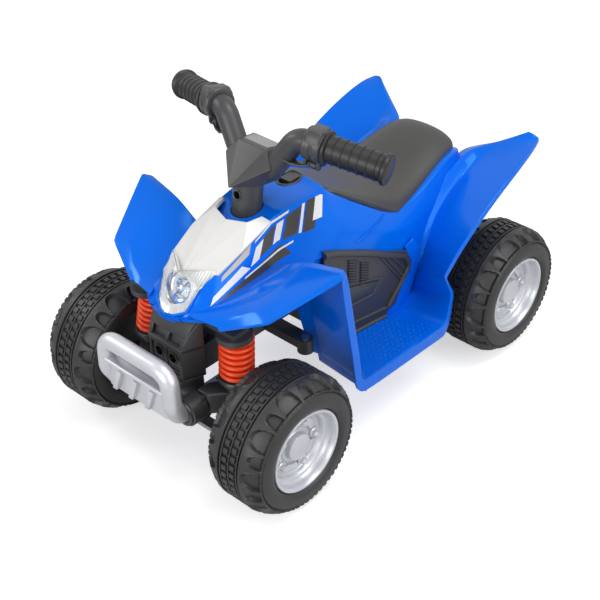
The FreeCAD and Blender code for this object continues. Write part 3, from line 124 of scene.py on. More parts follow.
# clear polycarbonate of the lamp cover, with a faint frosting in its ripples
LENS = moulded("clear_polycarbonate", "#f7f9fb", 0.05, 6.0, 0.05, 0.01, 0.03, 12,
               Transmission_Weight=1.0, IOR=1.45)
# bulb glass: clear, with a pin-sharp highlight
GLASS = moulded("bulb_glass", "#e9eef6", 0.04, 5.0, 0.03, 0.01, 0.02, 10, Transmission_Weight=0.9, IOR=1.5)
# bright vacuum metal on the reflector bowl
MIRROR = moulded("vacuum_metal", "#d9dce0", 0.14, 3.0, 0.08, 0.04, 0.05, 8, Metallic=1.0)
# the same vacuum metal, coloured blue as a painted reflection of the blue hood
BLUE_REFLECTION_METAL = moulded("blue_mirroring_vacuum_metal", "#6f93d6", 0.16, 3.0, 0.08, 0.10, 0.05, 8, Metallic=1.0)
# fluted bright metal behind the lamp cover's side panes
FLUTED = moulded("fluted_vacuum_metal", "#e4e4e0", 0.22, 1.6, 0.25, 0.03, 0.05, 9, True, Metallic=0.6)
# battery case: dull dark grey
CASE = moulded("battery_case_plastic", "#3a3d42", 0.45, 1.0, 0.05, 0.08, 0.06)

# slot of each material; CAD nodes that stay get the first one of their slot
SLOTS = {"blue_plastic": (BLUE,), "black_plastic": (BLACK, SEAT, INK), "wheel_plastic": (TYRE,),
         "silver_plastic": (SILVER, GREY, MIRROR, BLUE_REFLECTION_METAL, FLUTED), "white_plastic": (WHITE, FILM, ASH),
         "clear_plastic": (LENS,), "bulb_glass": (GLASS,), "spring_steel": (SPRING,),
         "grip_rubber": (GRIP,), "steel": (STEEL, SHADE_DARK_STEEL), "battery_case": (CASE,)}


# mesh helpers; shapes are given in millimetres

# radius that stands for a point on the axis of a turned shape
AXIS = 0.01


def bare(name, points, faces):
    """Object from points in metres and faces, as they come."""
    mesh = bpy.data.meshes.new(name)
    mesh.from_pydata(points, [], faces)
    obj = bpy.data.objects.new(name, mesh)
    scene.collection.objects.link(obj)
    return obj


@contextmanager
def editing(obj):
    """Bmesh of an object's mesh, written back at the end."""
    work = bmesh.new()
    work.from_mesh(obj.data)
    yield work
    work.to_mesh(obj.data)
    work.free()


def solid(name, points, faces, sign=1):
    """Object from points and faces, mirrored in X for sign -1, with doubles merged and normals outward."""
    obj = bare(name, [(sign * p[0] * MM, p[1] * MM, p[2] * MM) for p in points], faces)
    with editing(obj) as work:
        bmesh.ops.remove_doubles(work, verts=work.verts, dist=0.00002)
        bmesh.ops.dissolve_degenerate(work, edges=work.edges, dist=0.00001)
        bmesh.ops.recalc_face_normals(work, faces=work.faces)
    return obj


def grid(rows, ring=False, ends=(False, False)):
    """Points and faces of a net of equally long rows; ring closes each row, ends caps first and last."""
    wide = len(rows[0])
    points = [p for row in rows for p in row]
    faces = []
    for i in range(len(rows) - 1):
        for j in range(wide if ring else wide - 1):
            k = (j + 1) % wide
            faces.append((i * wide + j, i * wide + k, (i + 1) * wide + k, (i + 1) * wide + j))
    if ends[0]:
        faces.append(tuple(reversed(range(wide))))
    if ends[1]:
        faces.append(tuple(range((len(rows) - 1) * wide, len(rows) * wide)))
    return points, faces


def lathe(profile, steps, put):
    """Net of a turned shape; put(radius, along, angle) places a point."""
    return grid([[put(r, w, 2 * pi * k / steps) for k in range(steps)] for r, w in profile], True)


def turned(name, profile, steps, put, sign=1):
    return solid(name, *lathe(profile, steps, put), sign)


def rod(radius, low, high):
    """Profile of a plain cylinder."""
    return rect(AXIS, radius, low, high)


def cut(name, outline, low, high, put, sign=1, edge=0, segments=2):
    """Solid of a flat outline between two heights, edges rounded; put(u, v, height) places a point."""
    rows = [[put(u, v, h) for u, v in outline] for h in (low, high)]
    obj = solid(name, *grid(rows, True, (True, True)), sign)
    return baked(rounded(obj, edge, segments)) if edge else obj


def rect(u0, u1, v0, v1):
    return [(u0, v0), (u1, v0), (u1, v1), (u0, v1)]


def upright(u, v, h):
    """Place for an outline that is seen from above."""
    return (u, v, h)


def about_z(r, w, a):
    """Place for a turned shape that stands on the origin."""
    return (r * cos(a), r * sin(a), w)


def bend(path, radius, steps=7):
    """Path of points with its inner corners rounded to a radius."""
    out = [Vector(path[0])]
    for a, b, c in zip(path, path[1:], path[2:]):
        a, b, c = Vector(a), Vector(b), Vector(c)
        u, v = (a - b).normalized(), (c - b).normalized()
        reach = min(radius / max(0.05, tan(u.angle(v) / 2)), (a - b).length * 0.49, (c - b).length * 0.49)
        for k in range(steps + 1):
            t = k / steps
            out.append(b + u * reach * (1 - t) ** 2 + v * reach * t ** 2)
    out.append(Vector(path[-1]))
    return out


def piped(name, path, radii, steps, sign=1):
    """Round solid along a path; radii is one radius or one per point."""
    if not isinstance(radii, (list, tuple)):
        radii = [radii] * len(path)
    path = [Vector(p) for p in path]
    rows, side = [], None
    for i, p in enumerate(path):
        ahead = (path[min(i + 1, len(path) - 1)] - path[max(i - 1, 0)]).normalized()
        if side is None:
            side = ahead.orthogonal().normalized()
        side = (side - ahead * side.dot(ahead)).normalized()
        up = ahead.cross(side)
        turns = [2 * pi * k / steps for k in range(steps)]
        rows.append([p + side * cos(a) * radii[i] + up * sin(a) * radii[i] for a in turns])
    return solid(name, *grid(rows, True, (True, True)), sign)


def modify(obj, kind, **values):
    """The object with one more modifier."""
    mod = obj.modifiers.new(kind.lower(), kind)
    for key, value in values.items():
        setattr(mod, key, value)
    return obj


def rounded(obj, width, segments=2, angle=30):
    return modify(obj, "BEVEL", width=width * MM, segments=segments, limit_method="ANGLE",
                  angle_limit=radians(angle), use_clamp_overlap=True)


def smoothed(obj):
    return modify(obj, "SUBSURF", levels=3, render_levels=3, boundary_smooth="PRESERVE_CORNERS")


def thickened(obj, wall):
    """Sheet with a wall added on its inner side."""
    return modify(obj, "SOLIDIFY", thickness=wall * MM, offset=-1)


def baked(obj):
    """The same object with its modifiers worked into a plain mesh."""
    bpy.context.view_layer.update()
    seen = obj.evaluated_get(bpy.context.evaluated_depsgraph_get())
    mesh = bpy.data.meshes.new_from_object(seen)
    obj.modifiers.clear()
    obj.data = mesh
    return obj


def carve(obj, *tools):
    for tool in tools:
        baked(modify(obj, "BOOLEAN", operation="DIFFERENCE", solver="EXACT", object=tool, use_self=True))
    for tool in tools:
        bpy.data.objects.remove(tool)
    return obj


def join(obj, *others):
    """One object from several."""
    with editing(obj) as work:
        for piece in others:
            work.from_mesh(piece.data)
    for piece in others:
        bpy.data.objects.remove(piece)
    return obj


def dress(obj, mat, body, *nodes, angle=32):
    """Finished piece: shading, material, the body it rides on, the nodes it stands for."""
    if obj.modifiers:
        baked(obj)
    obj.data.materials.clear()
    obj.data.materials.append(mat)
    obj.data.polygons.foreach_set("use_smooth", [True] * len(obj.data.polygons))
    obj.data.set_sharp_from_angle(angle=radians(angle))
    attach(obj, body)
    if nodes:
        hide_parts(*nodes)
    return obj


# geometry-node trees for what repeats

def tree_of(name, **sockets):
    """New tree with these inputs, and the inputs' outlets in it."""
    tree = bpy.data.node_groups.new(name, "GeometryNodeTree")
    tree.interface.new_socket("Geometry", in_out="OUTPUT", socket_type="NodeSocketGeometry")
    for label, kind in sockets.items():
        tree.interface.new_socket(label, in_out="INPUT", socket_type="NodeSocket" + kind)
    return tree, add(tree, "NodeGroupInput").outputs


def close_tree(tree, points, given, turn=None):
    """Puts the part on each point and ends the tree."""
    part = add(tree, "GeometryNodeObjectInfo", {}, {"Object": given["Part"]})
    links = {"Points": points, "Instance": part.outputs["Geometry"]}
    if turn:
        links["Rotation"] = turn
    finish_tree(tree, add(tree, "GeometryNodeInstanceOnPoints", {}, links), given)


def finish_tree(tree, shape, given):
    """Makes instances real, paints the shape and ends the tree."""
    real = add(tree, "GeometryNodeRealizeInstances", {}, {"Geometry": shape})
    paint = add(tree, "GeometryNodeSetMaterial", {}, {"Geometry": real, "Material": given["Finish"]})
    add(tree, "NodeGroupOutput", {}, {"Geometry": paint})


RING, got = tree_of("ring_of_parts", Part="Object", Count="Int", Radius="Float", Finish="Material")
circle = add(RING, "GeometryNodeMeshCircle", {}, {"Vertices": got["Count"], "Radius": got["Radius"]})
facing = add(RING, "FunctionNodeAlignRotationToVector", {"axis": "X", "pivot_axis": "Z"},
             {"Vector": add(RING, "GeometryNodeInputPosition")})
close_tree(RING, circle, got, facing)

ROW, got = tree_of("row_of_parts", Part="Object", Count="Int", First="Vector", Step="Vector",
                   Finish="Material")
line = add(ROW, "GeometryNodeMeshLine", {"mode": "OFFSET"},
           {"Count": got["Count"], "Start Location": got["First"], "Offset": got["Step"]})
close_tree(ROW, line, got)

FIELD, got = tree_of("field_of_parts", Part="Object", Wide="Float", Long="Float", Across="Int", Along="Int",
                     Slant="Float", Finish="Material")
net = add(FIELD, "GeometryNodeMeshGrid", {}, {"Size X": got["Wide"], "Size Y": got["Long"],
                                              "Vertices X": got["Across"], "Vertices Y": got["Along"]})
split = add(FIELD, "ShaderNodeSeparateXYZ", {}, {0: add(FIELD, "GeometryNodeInputPosition")})
lean = add(FIELD, "ShaderNodeMath", {"operation": "MULTIPLY"}, {0: split.outputs["X"], 1: got["Slant"]})
push = add(FIELD, "ShaderNodeCombineXYZ", {}, {"Y": lean})
slid = add(FIELD, "GeometryNodeSetPosition", {}, {"Geometry": net, "Offset": push})
close_tree(FIELD, slid, got)

COIL, got = tree_of("coil", Turns="Float", Radius="Float", Height="Float", Wire="Float", Finish="Material")
spiral = add(COIL, "GeometryNodeCurveSpiral", {"Resolution": 32},
             {"Rotations": got["Turns"], "Start Radius": got["Radius"], "End Radius": got["Radius"],
              "Height": got["Height"]})
wire = add(COIL, "GeometryNodeCurvePrimitiveCircle", {"Resolution": 14}, {"Radius": got["Wire"]})
swept = add(COIL, "GeometryNodeCurveToMesh", {"Fill Caps": True}, {"Curve": spiral, "Profile Curve": wire})
finish_tree(COIL, swept, got)


def repeated(name, tree, **values):
    """Plain mesh object of a tree with these inputs."""
    obj = bare(name, [], [])
    mod = obj.modifiers.new("repeat", "NODES")
    mod.node_group = tree
    for item in tree.interface.items_tree:
        if item.in_out == "INPUT":
            mod[item.identifier] = values[item.name]
    baked(obj)
    if "Part" in values:
        bpy.data.objects.remove(values["Part"])
    return obj


def moved(obj, matrix):
    """Puts a repeated mesh in place, through its vertices."""
    obj.data.transform(matrix)
    if matrix.determinant() < 0:
        obj.data.flip_normals()
    return obj


# wheels

# inner plane of the wheels, the two axles and their height
WHEEL_IN = 108.0
AXLES = (("front", -222.0), ("rear", 230.0))
AXLE_Z = 96.0
# lugs of a wheel and the radius they stand on
LUGS = 5
LUG_CIRCLE = 33
# arches round a tyre, and points of the net in each
PITCHES = 10
PER_PITCH = 72
# turn at which the first arch stands
FIRST_ARCH = 32.5 / 360
# middle and half width of an arch in the pitch, and how near the crown it starts
ARCHES = ((0.5, 0.26, 0.05), (0.0, 0.16, 0.30), (1.0, 0.16, 0.30))
# radii of the tread's base at its crown and shoulders; drop and width of the skirts beside them
CROWN = 92.6
SHOULDER = 90.6
SKIRT_DROP = 10.0
SKIRT = 22
# radius and width of the plain rings
INNER_WALL = ((7.5, 12), (40, 10.5), (57, 10.5), (60, 8), (63, 3), (67, 0.6), (74, 0.4), (80, 2.5), (81, 4))
OUTER_WALL = ((81, 90), (79.5, 91.6), (74, 93.4), (67, 93.8), (63.5, 93.4), (61, 92.2), (59.2, 90),
              (58.5, 86), (58.5, 78))
# bands across the crown of the tread: kind, and the widths between which it runs
BANDS = (("edge", 27.6, 29.5), ("floor", 30.2, 32.2), ("ridge", 32.8, 34.6), ("floor", 35.2, 36.2),
         ("dash0", 36.8, 44.0), ("floor", 44.6, 45.6), ("ridge", 46.2, 48.0), ("floor", 48.6, 49.6),
         ("dash1", 50.2, 57.4), ("floor", 58.0, 59.0), ("ridge", 59.6, 61.4), ("floor", 62.0, 63.8),
         ("edge", 64.5, 66.4))


def wheel_spot(axle_y, sign):
    return lambda r, w, a: (sign * (WHEEL_IN + w), axle_y + r * cos(a), AXLE_Z + r * sin(a))


def tyre_rows():
    """Radius, width and feature of each ring of the tread, from the inner hub to the outer rim seat."""
    rows = [(r, w, "") for r, w in INNER_WALL]
    shares = [k / 16 for k in range(17)]
    rows += [(SHOULDER - SKIRT_DROP * (1 - s) ** 1.6, 5 + SKIRT * s, 1 - s) for s in shares]
    for kind, low, high in BANDS:
        rows += [(CROWN, low, kind), (CROWN, high, kind)]
    rows += [(SHOULDER - SKIRT_DROP * s ** 1.6, 67 + SKIRT * s, s) for s in shares]
    return rows + [(r, w, "") for r, w in OUTER_WALL]


def lift(kind, turn):
    """Height of the pattern over the tread's base at a place round the wheel, in turns."""
    if kind == "ridge":
        return 2.5
    if kind == "edge":
        return 3.1
    if kind in ("dash0", "dash1"):
        return 3.1 if (turn * PITCHES * 5 + (0.5 if kind == "dash1" else 0)) % 1 < 0.60 else 0.0
    if isinstance(kind, float):
        at = ((turn - FIRST_ARCH) * PITCHES + 0.5) % 1
        if kind > 0.93:
            return 4.4 if (at * 6) % 1 < 0.6 else 3.2
        sunk, lip = 0.0, 0.0
        for middle, half, top in ARCHES:
            off = abs(at - middle) / half
            depth = kind - 1 + (1 - top) * (1 - off ** 2.2) ** 0.5 if off < 1 else 1 - off - (1 - kind)
            sunk = max(sunk, min(1.0, max(0.0, depth / 0.07 + 0.5)))
            lip = max(lip, 1 - abs(depth + 0.08) / 0.07)
        return (4.7 + 0.9 * lip) * (1 - sunk)
    return 0.0


def tyre(name, axle_y, sign):
    put = wheel_spot(axle_y, sign)
    count = PITCHES * PER_PITCH
    net = []
    for r, w, kind in tyre_rows():
        tilt = kind * 0.9 if isinstance(kind, float) else 0.0
        out = 1 if w > 47 else -1
        heights = [lift(kind, k / count) for k in range(count)]
        net.append([put(r + h * cos(tilt), w + out * h * sin(tilt), 2 * pi * k / count)
                    for k, h in enumerate(heights)])
    for r in (58.5, 7.5):
        net.append([put(r, 60, 2 * pi * k / count) for k in range(count)])
    net.append(net[0])
    return solid(name, *grid(net, True))


DISC = [(AXIS, 66.2), (10.2, 66.2), (10.2, 61.5), (57.9, 61.5), (57.9, 90), (57.2, 91.2), (55.6, 91.7),
        (54, 91.2), (53.2, 90), (52.4, 84), (51.4, 79), (50.2, 77.4), (46.6, 76.6), (45.6, 75.6),
        (44.4, 70.6), (43.2, 69.2), (41, 68.6), (24.5, 68.6), (23.6, 69.8), (20.5, 69.8), (19.4, 70.6),
        (18.8, 76.5), (18, 78.2), (16.4, 79), (6, 79.3), (AXIS, 79.3)]


def disc_bits():
    """A lug head on its boss, and a raised kidney between two lugs, at the wheel's own place and scale."""
    boss, faces = lathe([(AXIS, 67), (7.8, 67), (7.4, 72.0), (6.4, 73.0), (AXIS, 73.0)], 16, about_z)
    head, more = lathe([(AXIS, 72.6), (5.0, 72.6), (4.8, 77), (3.6, 78.6), (AXIS, 78.6)], 6, about_z)
    lug = solid("lug", boss + head, faces + [tuple(len(boss) + i for i in face) for face in more])
    arc = [(27, -17), (27, -8), (27, 0), (27, 8), (27, 17), (32, 20), (38, 18), (38.6, 9), (38.8, 0),
           (38.6, -9), (38, -18), (32, -20)]
    outline = [(r * cos(radians(a)) - LUG_CIRCLE, r * sin(radians(a))) for r, a in arc]
    return lug, cut("kidney", outline, 67.5, 72.4, upright, edge=1.2)


for end, axle_y in AXLES:
    for side, sign in SIDES:
        place = "%s_%s" % (end, side)
        dress(tyre("tyre_" + place, axle_y, sign), TYRE, "wheel_" + place, "%s_wheel_%s" % (end, side),
              angle=28)
        disc = turned("disc_" + place, DISC, 72, wheel_spot(axle_y, sign))
        lug, kidney = disc_bits()
        lugs = repeated("lugs", RING, Part=lug, Count=LUGS, Radius=LUG_CIRCLE * MM, Finish=SILVER)
        kidneys = repeated("kidneys", RING, Part=kidney, Count=LUGS, Radius=LUG_CIRCLE * MM, Finish=SILVER)
        moved(kidneys, Matrix.Rotation(pi / LUGS, 4, "Z"))
        stand = Matrix(((0, 0, sign, sign * WHEEL_IN * MM), (1, 0, 0, axle_y * MM),
                        (0, 1, 0, AXLE_Z * MM), (0, 0, 0, 1)))
        dress(join(disc, moved(lugs, stand), moved(kidneys, stand)), SILVER, "wheel_" + place,
              "%s_disc_%s" % (end, side), angle=35)


# body cowl: hood, tank and tail in one shell

COWL = (
    (0.000, [(.34, .485), (.34, .50), (.25, .485), (.12, .445), (0, .425)]),
    (0.025, [(.53, .485), (.53, .515), (.42, .525), (.25, .53), (0, .61)]),
    (0.053, [(.62, .46), (.55, .52), (.44, .59), (.33, .655), (0, .745)]),
    (0.104, [(.65, .49), (.59, .56), (.50, .65), (.40, .75), (0, .80)]),
    (0.273, [(.70, .57), (.66, .645), (.57, .80), (.46, .965), (0, .95)]),
    (0.381, [(.78, .56), (.70, .66), (.60, .80), (.48, .975), (0, .99)]),
    (0.430, [(.83, .53), (.74, .65), (.63, .80), (.49, .965), (0, .985)]),
    (0.4545, [(.84, .51), (.76, .64), (.64, .80), (.478, .975), (0, 1.01)]),
    (0.479, [(.85, .48), (.77, .61), (.66, .76), (.51, .895), (0, .89)]),
    (0.517, [(.87, .43), (.80, .58), (.70, .70), (.575, .823), (0, .80)]),
    (0.608, [(.93, .32), (.86, .48), (.785, .575), (.70, .645), (0, .64)]),
    (0.684, [(.99, .24), (.94, .40), (.87, .47), (.785, .508), (0, .54)]),
    (0.816, [(.92, .22), (.88, .46), (.84, .58), (.78, .65), (0, .58)]),
    (0.939, [(.80, .30), (.79, .55), (.76, .68), (.71, .765), (0, .68)]),
    (1.000, [(.70, .33), (.69, .52), (.66, .62), (.62, .70), (0, .64)]),
)


def net_of(table, y0, length, wide, z0, tall):
    """Rows across a body from left edge over the ridge to right edge."""
    rows = []
    for along, half in table:
        left = [(x * wide, y0 + along * length, z0 + z * tall) for x, z in half]
        rows.append(left + [(-x, y, z) for x, y, z in reversed(left[:-1])])
    return rows


def crease(obj, share, pick):
    """Keeps an edge sharp under subdivision where pick(a, b) of its end places in mm is true."""
    with editing(obj) as work:
        layer = work.edges.layers.float["crease_edge"]
        for edge in work.edges:
            if pick(edge.verts[0].co / MM, edge.verts[1].co / MM):
                edge[layer] = share


def crease_columns(obj, wide, shares):
    """Sharpens the long edges of chosen columns of a net made by grid, before its points are merged."""
    layer = obj.data.attributes.new("crease_edge", "FLOAT", "EDGE")
    for i, edge in enumerate(obj.data.edges):
        a, b = edge.vertices
        if abs(a - b) == wide and a % wide in shares:
            share = shares[a % wide]
            layer.data[i].value = share(min(a, b) // wide) if callable(share) else share


def faced(obj, way=Vector((0, 0, 1))):
    """Turns an open sheet so that its outside faces this way."""
    if sum(p.normal.dot(way) * p.area for p in obj.data.polygons) < 0:
        obj.data.flip_normals()
    return obj


def shell(name, rows, ends, shares, row_shares=None):
    """Net open underneath, with its creases, to be subdivided."""
    points, faces = grid(rows, False, ends)
    obj = bare(name, [Vector(p) * MM for p in points], faces)
    crease_columns(obj, len(rows[0]), shares)
    if row_shares:
        crease_rows(obj, len(rows[0]), row_shares)
    with editing(obj) as work:
        bmesh.ops.recalc_face_normals(work, faces=work.faces)
    return faced(obj)


# wall of the moulded shells
WALL = 3
LEAN = radians(8)
COLUMN_Y = -114
COLUMN_Z = 322


def steer(x, y, z):
    """Place of a point of the steering assembly, which leans back about the column's top."""
    return (x, COLUMN_Y + y * cos(LEAN) + z * sin(LEAN), COLUMN_Z - y * sin(LEAN) + z * cos(LEAN))


def on_stem(r, w, a):
    """Place about the leaning axis of the steering column."""
    return steer(r * cos(a), r * sin(a), w)


def lamp(r, w, a):
    """Place about the headlamp's axis, w outwards from its centre."""
    return LAMP_AT + LAMP_AHEAD * w + Vector((1, 0, 0)) * r * cos(a) + LAMP_UP * r * sin(a)


def inside(spot, outline):
    """Whether a flat point lies in an outline."""
    found = False
    for (ax, ay), (bx, by) in zip(outline, outline[1:] + outline[:1]):
        if (ay > spot[1]) != (by > spot[1]) and spot[0] < ax + (bx - ax) * (spot[1] - ay) / (by - ay):
            found = not found
    return found


def spots(*places):
    return [Vector(p) for p in places]


def mirror_line(half):
    return half + [(-x, y) for x, y in reversed(half)]


LAMP_AHEAD = Vector((0, -0.88, 0.475)).normalized()
LAMP_UP = Vector((1, 0, 0)).cross(LAMP_AHEAD)
LAMP_AT = Vector((0, -236, 258))
LENS_HALF = spots((0, -235, 283), (38, -208, 284), (32, -232, 268), (25, -250, 240), (10, -259, 234),
                  (0, -262, 234))
lens_plan = mirror_line([(p.x * 0.96, (p - LAMP_AT).dot(LAMP_UP) * 0.97) for p in LENS_HALF])
shield_plan = mirror_line([(0, -231), (35, -205), (39, -170), (41, -124), (31, -126), (25, -142), (0, -152)])

cowl = shell("body_cowl_shell", net_of(COWL, -261, 528, 95, 144, 186), (True, True),
             {1: 0.85, 3: 0.75, 5: 0.75, 7: 0.85})
crease(cowl, 0.6, lambda a, b: max(a.y, b.y) < -245 and abs(a.y - b.y) < 1)
crease(cowl, 0.9, lambda a, b: max(abs(a.y + 21), abs(b.y + 21)) < 1 and min(a.z, b.z) > 320)
baked(smoothed(cowl))
hood = BVHTree.FromObject(cowl, bpy.context.evaluated_depsgraph_get())
for vertex in cowl.data.vertices:
    place = vertex.co / MM
    if inside((place.x, (place - LAMP_AT).dot(LAMP_UP)), lens_plan) and place.y < -200:
        vertex.co -= LAMP_AHEAD * 7 * MM
    elif inside((place.x, place.y), shield_plan) and place.z > 260:
        vertex.co.z -= 6 * MM
baked(thickened(cowl, WALL))
stem_hole = turned("stem_hole", rod(20.6, -60, 60), 48, on_stem)
SWITCH_Y = -37
switch_hole = turned("switch_hole", rod(1, 290, 350), 40,
                     lambda r, w, a: (14.5 * r * cos(a), SWITCH_Y + 19.5 * r * sin(a), w))
lamp_hole = turned("lamp_hole", rod(21, -16, 30), 40, lamp)
carve(cowl, stem_hole, switch_hole, lamp_hole)
dress(cowl, BLUE, "root", "body_cowl", angle=40)


# side mouldings: front fender, leg shield, foot well, heel and rear fender run into each other

def between(a, b, shares):
    return [Vector(a).lerp(Vector(b), s) for s in shares]


def fender_row(inner, fold, outer):
    """Front fender from the hood's foot over the fold to the outer edge."""
    return between(inner, fold, (0, 0.55)) + [Vector(fold)] + between(fold, outer, (0.5, 1))


def wall_row(inner, outer, flange=0):
    """Wall or floor from its inner to its outer edge; a leg shield's inner strip is turned forward."""
    row = between(inner, outer, (0, 0.16, 0.5, 0.78, 1))
    row[0].y -= flange
    return row


def fin_row(wall_top, wall_foot, outer):
    """Rear fender from inside the cowl down a steep side strip and out to the edge."""
    hidden = Vector(wall_top) + Vector((-14, 6, -4))
    return [hidden, Vector(wall_top), Vector(wall_foot)] + between(wall_foot, outer, (0.5, 1))


# points of a row, its turned-down edge, and how sharp the row's own line is
SHEET = [
    (fender_row((34, -256, 243), (78, -247, 240.5), (80, -248, 237)), (0, 1, -2), 1.0),
    (fender_row((50, -208, 250), (113, -211, 269), (138, -224, 263)), (0.5, 1, -3), 0.9),
    (fender_row((54, -172, 257), (118, -176, 281.5), (159, -177, 288)), (1, 0, -8), 0.0),
    (fender_row((57, -140, 262), (113, -138, 291), (179, -133.5, 308.5)), (1, 0, -10), 0.5),
    (fender_row((59, -134, 263), (112, -129, 294), (171, -123, 304)), (1, -5, -9), 0.8),
    (wall_row((66, -118, 250), (170, -115, 290), 7), (0, -11, -6), 0.0),
    (wall_row((74, -103, 236), (168, -106, 250), 12), (0, -12, -3), 0.0),
    (wall_row((74, -93.5, 200), (166, -95, 200), 12), (0, -12, -3), 0.0),
    (wall_row((74, -80, 150), (166, -86, 150), 12), (0, -12, -3), 0.0),
    (wall_row((74, -69, 106), (166, -79, 107), 7), (0, -12, -8), 0.3),
    (wall_row((74, -62, 100), (166, -72, 101)), (0, -6, -18), 0.3),
    (wall_row((74, 10, 100), (166, 10, 100)), (0, 0, -19), 0.0),
    (wall_row((74, 80, 100), (165, 96, 98)), (0, 4, -20), 0.7),
    (wall_row((76, 87, 104), (165, 104, 104)), (0, 8, -9), 0.2),
    (wall_row((84, 112, 114), (165, 110, 145)), (0, 6, -1), 0.6),
    (fin_row((88, 114, 124), (92, 114, 126), (165, 90, 184)), (0, 6, -6), 0.95),
    (fin_row((86, 122, 170), (95, 128, 160), (165, 118, 212)), (1, 2, -9), 0.0),
    (fin_row((82, 136, 206), (95, 143, 191), (166, 145, 232)), (1, 0, -9), 0.0),
    (fin_row((76, 158, 232), (89, 166, 217), (166, 171, 249)), (1, 0, -9), 0.0),
    (fin_row((75, 196, 258), (86, 206, 242), (165, 210, 269)), (1, 0, -9), 0.0),
    (fin_row((75, 240, 273), (88, 240, 259), (163, 250, 285)), (1, 0, -9), 0.0),
    (fin_row((72, 266, 275), (92, 264, 271), (160, 279, 295)), (1, 0, -9), 0.0),
    (spots((90, 290, 280), (98, 288, 285), (106, 289, 289), (132, 294, 296), (157, 299, 300)),
     (1, 0, -8), 0.0),
    (spots((131, 311, 300), (133, 311, 304), (137, 311.5, 306.5), (146, 313, 305), (153, 314, 301)),
     (0, 1, -6), 0.9),
]


def crease_rows(obj, wide, shares):
    """Sharpens the cross lines of chosen rows of a net made by grid."""
    layer = obj.data.attributes["crease_edge"]
    for i, edge in enumerate(obj.data.edges):
        a, b = sorted(edge.vertices)
        if b - a == 1 and a // wide == b // wide and a % wide >= shares[a // wide][1]:
            layer.data[i].value = max(layer.data[i].value, shares[a // wide][0])


for side, sign in SIDES:
    rows = [[(sign * p.x, p.y, p.z) for p in row + [row[-1] + Vector(edge)]] for row, edge, _ in SHEET]
    fold = lambda row: 0.95 if row == 0 else 0.0 if row < 14 else 0.8
    strip = lambda row: 0.9 if 5 <= row < 10 else 0.5
    sheet = shell("side_moulding_" + side, rows, (False, False), {4: 0.95, 2: fold, 1: strip},
                  [(share, 2 if k == 1 else 0) for k, (_, _, share) in enumerate(SHEET)])
    baked(thickened(smoothed(sheet), WALL))
    bump = turned("bump", [(1.7, -0.3), (1.5, 0.4), (1.0, 0.8), (AXIS, 0.9)], 8, about_z)
    bumps = repeated("bumps", FIELD, Part=bump, Wide=62 * MM, Long=110 * MM, Across=10, Along=13,
                     Slant=0.45, Finish=BLUE)
    floor_middle = Matrix.Translation((sign * 124 * MM, 14 * MM, 100 * MM))
    moved(bumps, floor_middle @ Matrix.Diagonal((sign, 1, 1, 1)))
    skirt = cut("skirt", [(74, -68.2), (166, -76.9), (166, -74.7), (74, -66)], 82, 120,
                lambda u, v, h: (u, v + 0.22 * (106 - h), h), sign, 0.8)
    dress(join(sheet, bumps, skirt), BLUE, "root", "front_fender_" + side, "foot_well_" + side,
          "rear_fender_" + side, angle=40)


# engine side panels and the blue walls behind their corners

def side_x(y):
    return 74 + (y + 60) * 0.125


PANEL = [(-56, 100), (12, 100), (56, 100), (62, 108), (76, 114), (88, 142), (103, 166), (104, 174),
         (93, 196), (60, 207), (24, 225), (-38, 251), (-56, 256)]
RIM = ((-56, 250), (-38, 246), (24, 220), (60, 201), (90, 187), (98, 170), (85, 150), (60, 118))
KICK = [(52, 100), (64, 117), (88, 146), (102, 166), (102, 174), (92, 200), (108, 208), (122, 186),
        (116, 150), (100, 100)]

for side, sign in SIDES:
    put = lambda u, v, h: (side_x(u) + h, u, v)
    plate = cut("engine_panel_" + side, PANEL, 0, 4.2, put, sign, 1.2)
    bits = [piped("rim", bend([put(u, v, 4.5) for u, v in RIM], 12), 4.0, 10, sign)]
    for start in (-8, 14):
        slat = cut("slat", rect(-8.5, 8.5, -1.1, 1.1), 3.5, 6.4, lambda u, v, h: (h, u, v - 0.45 * u),
                   edge=0.6)
        slats = repeated("slats", ROW, Part=slat, Count=9,
                         First=(side_x(start) * MM, start * MM, (222 - (start + 8) * 0.55) * MM),
                         Step=(0, 0, -0.0043), Finish=BLACK)
        if sign < 0:
            moved(slats, Matrix.Diagonal((-1, 1, 1, 1)))
        bits.append(slats)
    for u0, v0, u1, v1 in ((42, 208, 84, 152), (50, 206, 91, 150), (60, 203, 98, 158), (-54, 196, 44, 172),
                           (-54, 150, 30, 152), (30, 152, 44, 172), (-54, 122, 66, 116)):
        bits.append(piped("bar", [put(u0, v0, 4.0), put(u1, v1, 4.0)], 2.2, 8, sign))
    bits.append(cut("raised", [(-54, 154), (27, 155), (40, 170), (-54, 192)], 3.5, 6.0, put, sign, 1.0))
    bits.append(turned("screw", [(AXIS, 4), (4, 4), (3.8, 6.4), (2, 6.8), (1.6, 5.6), (AXIS, 5.6)], 18,
                       lambda r, w, a: put(-46 + r * cos(a), 112 + r * sin(a), w), sign))
    bits.append(piped("lip", [put(-56, 102, 4), put(57, 102, 4)], 3.0, 10, sign))
    dress(join(plate, *bits), BLACK, "root", "engine_panel_" + side)
    kick = cut("inner_wall_" + side, KICK, -1.5, 2.6, put, sign, 1.0)
    cheek = cut("cheek", rect(-104, -50, 232, 256), -9, -4, put, sign, 1.0)
    dress(join(kick, cheek), BLUE, "root")


